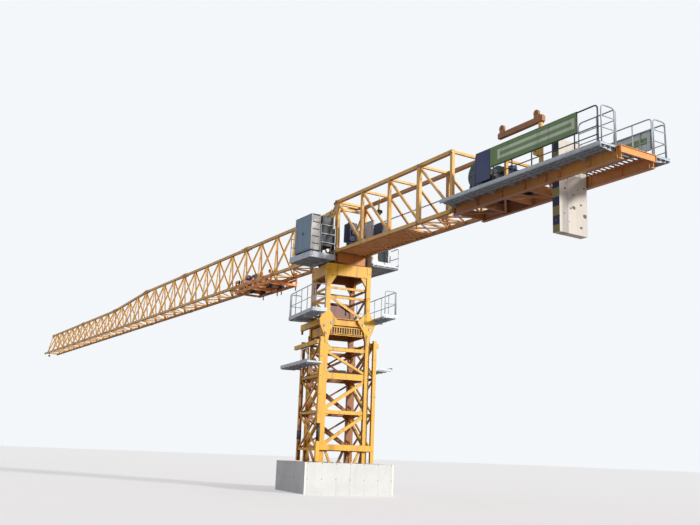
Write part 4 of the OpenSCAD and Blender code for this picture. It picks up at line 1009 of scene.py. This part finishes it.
def cage_details():
    """Bolts and collars of the cage's posts, the two climbing rams and the guide rollers."""
    steel, rollers, plates = meshes(3)
    levels = [0.9 + i * 0.765 for i in range(4)]
    out, collar, ram = CAGE_HALF + CAGE_POST / 2, 0.045, 0.041
    for x, y in ((1, 1), (1, -1), (-1, -1), (-1, 1)):
        for z in levels[1:] if (x, y) == (-1, 1) else levels:
            bolt(steel, (x * out, y * CAGE_HALF, z), (x, 0, 0), 0.01)
            bolt(steel, (x * CAGE_HALF, y * out, z), (0, y, 0), 0.01)
        post = Matrix.Translation((x * CAGE_HALF, y * CAGE_HALF, 0))
        for z in (2.05, 2.85):
            block(plates, (-collar, -collar, z - 0.012), (collar, collar, z + 0.012), 0.002, post)
            bolt(steel, post @ Vector((x * collar, 0, z)), (x, 0, 0), 0.008)
            bolt(steel, post @ Vector((0, y * collar, z)), (0, y, 0), 0.008)
    rod(rollers, (-CAGE_HALF, CAGE_HALF, 1.06), (-CAGE_HALF, CAGE_HALF, 1.44), 0.03, 24)
    for z in (1.075, 1.25, 1.425):
        rod(rollers, (-CAGE_HALF, CAGE_HALF, z - 0.012), (-CAGE_HALF, CAGE_HALF, z + 0.012), 0.037, 24)
    block(rollers, (CAGE_HALF - ram, CAGE_HALF - ram, 1.1), (CAGE_HALF + ram, CAGE_HALF + ram, 1.3), 0.003)
    for turn, _, level in map(tower_side, range(3)):
        for z in (levels[1] - 0.02, levels[3] - 0.02):
            for side in SIDES:
                at = turn @ Vector((side * MAST_HALF, -CAGE_HALF, z))
                rod(rollers, at - level * 0.042, at + level * 0.042, 0.026, 24)
    piece("cage_bolts", steel, BOLT_STEEL, "tower")
    piece("cage_rollers", rollers, DARK_STEEL, "tower", smooth=True)
    piece("cage_post_collars", plates, MAST_YELLOW, "tower")


def support_details():
    """Corner plates, bolts and ribs of the support, and the climbing rack in its two flared sides."""
    steel, plates, dark = meshes(3)
    out, skin = SUPPORT_HALF + 0.05, 0.455
    for turn, outward, level in map(tower_side, range(4)):
        for side in SIDES:
            x = side * SUPPORT_HALF
            bolt_grid(steel, turn @ Vector((side * 0.395, -SUPPORT_HALF - 0.03, 4.62)), level, UP, outward,
                      (2, 2), (0.03, 0.05), 0.008)
            block(plates, (x - 0.05, -out - 0.006, SUPPORT_TOP - 0.16), (x + 0.05, -out, SUPPORT_TOP - 0.02),
                  0.002, turn)
            bolt_grid(steel, turn @ Vector((x, -out - 0.006, SUPPORT_TOP - 0.09)), level, UP, outward,
                      (2, 2), (0.055, 0.08), 0.009)
        for i in range(6):
            x = -0.3 + i * 0.12
            block(plates, (x - 0.005, -SUPPORT_HALF - 0.048, 4.68), (x + 0.005, -SUPPORT_HALF - 0.051, 4.9),
                  place=turn)
    for turn, _, _ in map(tower_side, (1, 3)):
        for half, reach, low, high in ((0.41, 0.515, 3.69, 3.702), (0.41, 0.505, 3.552, 3.562),
                                       (0.38, 0.495, 3.365, 3.379), (0.38, 0.495, 3.5, 3.514)):
            block(plates, (-half, -reach, low), (half, -skin, high), 0.002, turn)
        block(dark, (-0.36, -0.4615, 3.375), (0.36, -skin, 3.5), place=turn)
        for i in range(13):
            x = -0.348 + i * 0.058
            block(plates, (x - 0.009, -0.485, 3.37), (x + 0.009, -skin, 3.508), 0.001, turn)
    for side in SIDES:
        for y, z in ((SUPPORT_HALF + 0.06, 3.52), (SUPPORT_HALF - 0.1, 3.6)):
            pin(steel, (-0.49, side * y, z), (1, 0, 0), 0.042, 0.024)
    piece("climbing_rack_shadow", dark, DARK_STEEL, "tower")
    piece("support_bolts", steel, BOLT_STEEL, "tower")
    piece("support_plates", plates, MAST_YELLOW, "tower")


def hydraulic_details():
    """Motor, pump and caps on the oil tank, its gauge and bolts."""
    dark, steel = meshes(2)
    x, z, lid = -0.29, 3.985, 4.04
    rod(dark, (x, 0.2, z), (x, 0.36, z), 0.05, 24)
    rod(dark, (x, 0.2, z), (x, 0.17, z), 0.035, 20)
    rod(dark, (-0.22, 0.05, lid), (-0.22, 0.05, lid + 0.035), 0.018, 16)
    rod(dark, (-0.35, 0.05, lid), (-0.35, 0.05, lid + 0.022), 0.014, 16)
    hoops(dark, (x, 0.279, z), 7, 0.018, 0.051, 0.003, 24, 4)
    block(dark, (-0.412, 0.0, 3.79), (-0.408, 0.03, 3.93))
    for y in (-0.05, 0.38):
        for z in (3.72, 3.965):
            bolt(steel, (-0.41, y, z), (-1, 0, 0), 0.008)
    piece("hydraulic_pump", dark, DARK_STEEL, "tower", smooth=True)
    piece("hydraulic_bolts", steel, BOLT_STEEL, "tower")


# cab and platforms

def cab_details():
    """Window gaskets, wiper, door, roof and seat, drawn from the cab's outer wall inward and its deck up."""
    rubber, steel, seat, trim, pane = meshes(5)
    low_sill, sill, head, roof = 0.1, 0.3, 0.785, 0.895
    for z in (sill, head):
        block(rubber, (-0.49, -0.003, z - 0.01), (0.13, 0.004, z + 0.01), 0.002)
    for x in (-0.48, -0.18, 0.12):
        block(rubber, (x - 0.01, -0.003, sill), (x + 0.01, 0.004, head), 0.002)
    for y in (0.06, 0.33):
        for foot, top in ((low_sill, sill), (sill, head)):
            block(rubber, (-0.604, y - 0.01, foot), (-0.597, y + 0.01, top), 0.002)
    for z in (low_sill, sill, head):
        block(rubber, (-0.604, 0.05, z - 0.01), (-0.597, 0.34, z + 0.01), 0.002)
    block(pane, (-0.603, 0.07, 0.11), (-0.599, 0.32, 0.29))
    block(seat, (-0.609, 0.335, 0.13), (-0.599, 0.355, 0.3), 0.003)
    block(seat, (-0.606, 0.012, 0.1), (-0.599, 0.032, 0.26), 0.002)
    front = turned((0.33, 0, 0.33), -math.atan2(0.08, roof - 0.33), "Y")
    for y in (0.05, 0.46):
        block(rubber, (-0.004, y - 0.01, 0.04), (0.003, y + 0.01, 0.475), 0.002, front)
    for z in (0.04, 0.475):
        block(rubber, (-0.004, 0.04, z - 0.01), (0.003, 0.47, z + 0.01), 0.002, front)
    for start, end in (((0.006, 0.16, 0.05), (0.006, 0.3, 0.3)),
                       ((0.008, 0.24, 0.14), (0.008, 0.36, 0.42))):
        rod(rubber, front @ Vector(start), front @ Vector(end), 0.005, 6)
    block(trim, (-0.604, 0.36, 0.02), (-0.599, 0.49, roof - 0.06), 0.003)
    block(trim, (-0.612, 0.0, roof - 0.004), (0.262, 0.51, roof + 0.012), 0.006)
    block(trim, (-0.42, 0.12, roof + 0.01), (-0.1, 0.39, roof + 0.075), 0.02)
    for i in range(6):
        block(rubber, (-0.4 + i * 0.05, 0.13, roof + 0.07), (-0.375 + i * 0.05, 0.38, roof + 0.078))
    rod(steel, (-0.612, 0.4, 0.4), (-0.612, 0.4, 0.52), 0.007, 8)
    for z in (0.14, 0.72):
        rod(steel, (-0.605, 0.49, z - 0.025), (-0.605, 0.49, z + 0.025), 0.008, 10)
    handle = [(-0.5, -0.001, 0.12), (-0.5, -0.03, 0.12), (-0.5, -0.03, 0.24), (-0.5, -0.001, 0.24)]
    tube(steel, rounded(handle, 0.02), 0.006, 8)
    block(seat, (-0.3, 0.15, 0.18), (-0.02, 0.37, 0.27), 0.03)
    block(seat, (-0.34, 0.15, 0.25), (-0.26, 0.37, 0.62), 0.03)
    block(seat, (-0.2, 0.21, 0.03), (-0.1, 0.31, 0.2), 0.01)
    for y in (0.1, 0.38):
        block(seat, (-0.2, y, 0.26), (0.08, y + 0.05, 0.33), 0.012)
    piece("cab_gaskets", rubber, RUBBER, place=CAB_PLACE)
    piece("cab_handles", steel, BOLT_STEEL, place=CAB_PLACE, smooth=True)
    piece("cab_seat", seat, RUBBER, place=CAB_PLACE)
    piece("cab_low_window", pane, CAB_GLASS, place=CAB_PLACE)
    piece("cab_roof_and_door", trim, WHITE, place=CAB_PLACE)


def platform_frames():
    """Cross bars under the platforms and kick boards along their edges."""
    upper, tower = meshes(2)
    shelf, bearer = 0.028, 0.052
    for i in range(9):
        x = -0.66 + i * 0.138
        block(upper, (x, -1.09, CAB_DECK - bearer), (x + 0.018, -0.4, CAB_DECK - shelf))
    for y in (-1.095, -0.42):
        block(upper, (-0.7, y, CAB_DECK - 0.06), (0.47, y + 0.02, CAB_DECK - shelf))
    block(upper, (-0.7, -1.0995, CAB_DECK), (0.466, -1.094, CAB_DECK + 0.05))
    block(upper, (-0.3745, 0.41, CABINET_DECK), (-0.37, 1.028, CABINET_DECK + 0.03))
    block(upper, (-0.37, 1.0245, CABINET_DECK), (0.59, 1.029, CABINET_DECK + 0.03))
    for side in SIDES:
        kick = SERVICE_DECK + 0.05
        block(tower, (-0.975, side * 0.969, SERVICE_DECK), (0.7, side * 0.975, kick))
        for x in (-0.974, 0.694):
            block(tower, (x, side * 0.66, SERVICE_DECK), (x + 0.005, side * 0.97, kick))
        for i in range(8):
            x = -0.9 + i * 0.22
            block(tower, (x, side * 0.66, SERVICE_DECK - 0.05),
                  (x + 0.02, side * 0.965, SERVICE_DECK - shelf))
    for near, far, first in ((0.66, 0.995, 0), (-0.66, -1.195, 2)):
        for i in range(first, 8):
            x = -0.78 + i * 0.25
            block(tower, (x, near, CAGE_DECK - bearer), (x + 0.02, far, CAGE_DECK - shelf))
    block(tower, (-0.85, 0.994, CAGE_DECK), (1.05, 1.0, CAGE_DECK + 0.04))
    block(tower, (-0.3, -1.2, CAGE_DECK), (1.05, -1.194, CAGE_DECK + 0.04))
    piece("slewing_platform_frames", upper, ZINC)
    piece("tower_platform_frames", tower, ZINC, "tower")


# trolley and its winch

def trolley_details():
    """Axle ends, wheel flanges, sheaves, rails, plates and boxes, drawn from the chords' height."""
    steel, dark, plum, rails = meshes(4)
    side_y, low, axle = 0.356, -0.23, 0.0935
    for x in (-0.98, 0.98):
        for side in SIDES:
            rod(steel, (x, side * (side_y + 0.024), axle), (x, side * (side_y + 0.034), axle), 0.022, 20)
            bolt(steel, (x, side * (side_y + 0.034), axle), (0, side, 0), 0.012)
            for wheel in (0.314, 0.334):
                hoop(dark, (x, side * wheel, axle), 0.056, 0.004, 40)
    for x in (-1.074, -0.55, 0.0, 0.55, 1.074):
        for side in SIDES:
            for z in (low + 0.035, -0.06):
                bolt(steel, (x, side * (side_y + 0.03), z), (0, side, 0), 0.01)
    for x in (-0.62, -0.48, 0.4, 0.54):
        for y in (-0.15, 0.15):
            rod(dark, (x, y - 0.02, low + 0.03), (x, y + 0.02, low + 0.03), 0.06, 32)
            hoops(dark, (x, y, low + 0.03), 2, 0.036, 0.059, 0.005)
    for x in (-0.55, 0.47):
        for side in SIDES:
            block(rails, (x - 0.2, side * 0.34, low + 0.01), (x + 0.2, side * 0.36, low + 0.05))
        for dx in (-0.07, 0.07):
            rod(steel, (x + dx, -0.355, low + 0.03), (x + dx, 0.355, low + 0.03), 0.014, 12)
    block(plum, (0.62, 0.1, low + 0.056), (0.98, 0.3, low + 0.15), 0.01)
    block(plum, (-0.32, -0.3, low + 0.056), (-0.02, -0.1, low + 0.15), 0.01)
    for x in (-0.78, -0.12, 0.3, 0.82):
        block(rails, (x, -0.33, low + 0.045), (x + 0.012, 0.33, low + 0.155), 0.003)
        for side in SIDES:
            block(rails, (x - 0.03, side * 0.381, low + 0.012), (x + 0.03, side * 0.397, -0.04), 0.003)
    piece("trolley_plates", rails, ORANGE, "trolley")
    piece("trolley_bolts", steel, BOLT_STEEL, "trolley", smooth=True)
    piece("trolley_sheaves", dark, DARK_STEEL, "trolley", smooth=True)
    piece("trolley_boxes", plum, PLUM, "trolley")


def travel_winch_details():
    rope, rims = meshes(2)
    base = CHORD_LOW + 0.0183
    hoops(rope, (4.28, 0, base + 0.13), 17, 0.015, 0.096, 0.0055)
    hoops(rims, (5.09, 0, base + 0.275), 2, 0.12, 0.075, 0.007, 40)
    for i in range(5):
        x = 4.62 + i * 0.07
        block(rims, (x, -0.245, CHORD_LOW + 0.03), (x + 0.03, 0.245, CHORD_LOW + 0.036))
    piece("travel_winch_rope", rope, ROPE_STEEL, smooth=True)
    piece("travel_winch_rims", rims, DARK_STEEL, smooth=True)


# camera, light and floor

def placed(name, data):
    made = bpy.data.objects.new(name, data)
    bpy.context.scene.collection.objects.link(made)
    return made


def camera():
    """The photograph's view: place, aim and lens fitted to the crane."""
    view = bpy.data.cameras.new("camera")
    made = placed("camera", view)
    yaw, pitch, roll = math.radians(-31.18), math.radians(12.68), math.radians(2.223)
    ahead = Vector((math.cos(pitch) * math.cos(yaw), math.cos(pitch) * math.sin(yaw), math.sin(pitch)))
    level = Vector((math.sin(yaw), -math.cos(yaw), 0))
    right = level * math.cos(roll) + level.cross(ahead) * math.sin(roll)
    turn = Matrix((right, right.cross(ahead), -ahead)).transposed()
    made.matrix_world = Matrix.Translation((-16.401, 9.705, 0.797)) @ turn.to_4x4()
    view.sensor_width = 36
    view.lens = 857.1 / 700 * view.sensor_width
    view.clip_start, view.clip_end = 0.1, 400
    bpy.context.scene.camera = made


def lights():
    sun = bpy.data.lights.new("key", "SUN")
    sun.energy = 2.95
    sun.color = (1.0, 0.965, 0.9)
    sun.angle = math.radians(7)
    made = placed("key", sun)
    made.rotation_mode = "QUATERNION"
    made.rotation_quaternion = Vector((-0.87, -0.34, 0.24)).to_track_quat("Z", "Y")
    world = bpy.data.worlds.new("studio")
    bpy.context.scene.world = world
    world.use_nodes = True
    world.node_tree.nodes.clear()
    tree = Shading(world.node_tree)
    path = tree.node("ShaderNodeLightPath", {}).outputs
    clear = tree.maths("MAXIMUM", path["Is Glossy Ray"], path["Is Transmission Ray"])
    seen = tree.maths("MAXIMUM", path["Is Camera Ray"], clear)
    fill = tree.node("ShaderNodeBackground", {"Color": (0.9, 0.9, 1.0, 1), "Strength": 0.46})
    back = tree.node("ShaderNodeBackground", {"Color": (0.9, 0.93, 0.96, 1), "Strength": 1.0})
    both = tree.node("ShaderNodeMixShader", {0: seen, 1: fill.outputs[0], 2: back.outputs[0]})
    tree.node("ShaderNodeOutputWorld", {"Surface": both.outputs[0]})


def floor():
    """A pale floor that glows a little to the camera alone, so that it keeps the shadow."""
    work = bmesh.new()
    bmesh.ops.create_grid(work, x_segments=1, y_segments=1, size=180)
    mesh = bpy.data.meshes.new("floor")
    work.to_mesh(mesh)
    work.free()
    finish = Finish("pale floor")
    shade = finish.mix(finish.noise(finish.where, 0.4, 3.0), linear(216, 214, 210), linear(224, 223, 220))
    seen = finish.node("ShaderNodeLightPath", {}).outputs["Is Camera Ray"]
    finish.feed("Base Color", finish.mix(seen, linear(176, 170, 164), shade))
    finish.feed("Emission Color", finish.mix(seen, (0, 0, 0, 1), (0.3, 0.3, 0.3, 1)))
    finish.fix("Emission Strength", 1.0)
    finish.fix("Roughness", 0.9)
    mesh.materials.append(finish.material)
    placed("floor", mesh)


for make in (railings, gratings, cabinets, jib_joints, jib_gussets, truss_fittings, girder_frames,
             girder_fittings, drum_details, motor_details, derrick_details, ballast_details,
             turntable_details, mast_details, cage_details, support_details, hydraulic_details, cab_details,
             platform_frames, trolley_details, travel_winch_details, camera, lights, floor):
    make()
bpy.context.scene.view_settings.view_transform = "Standard"
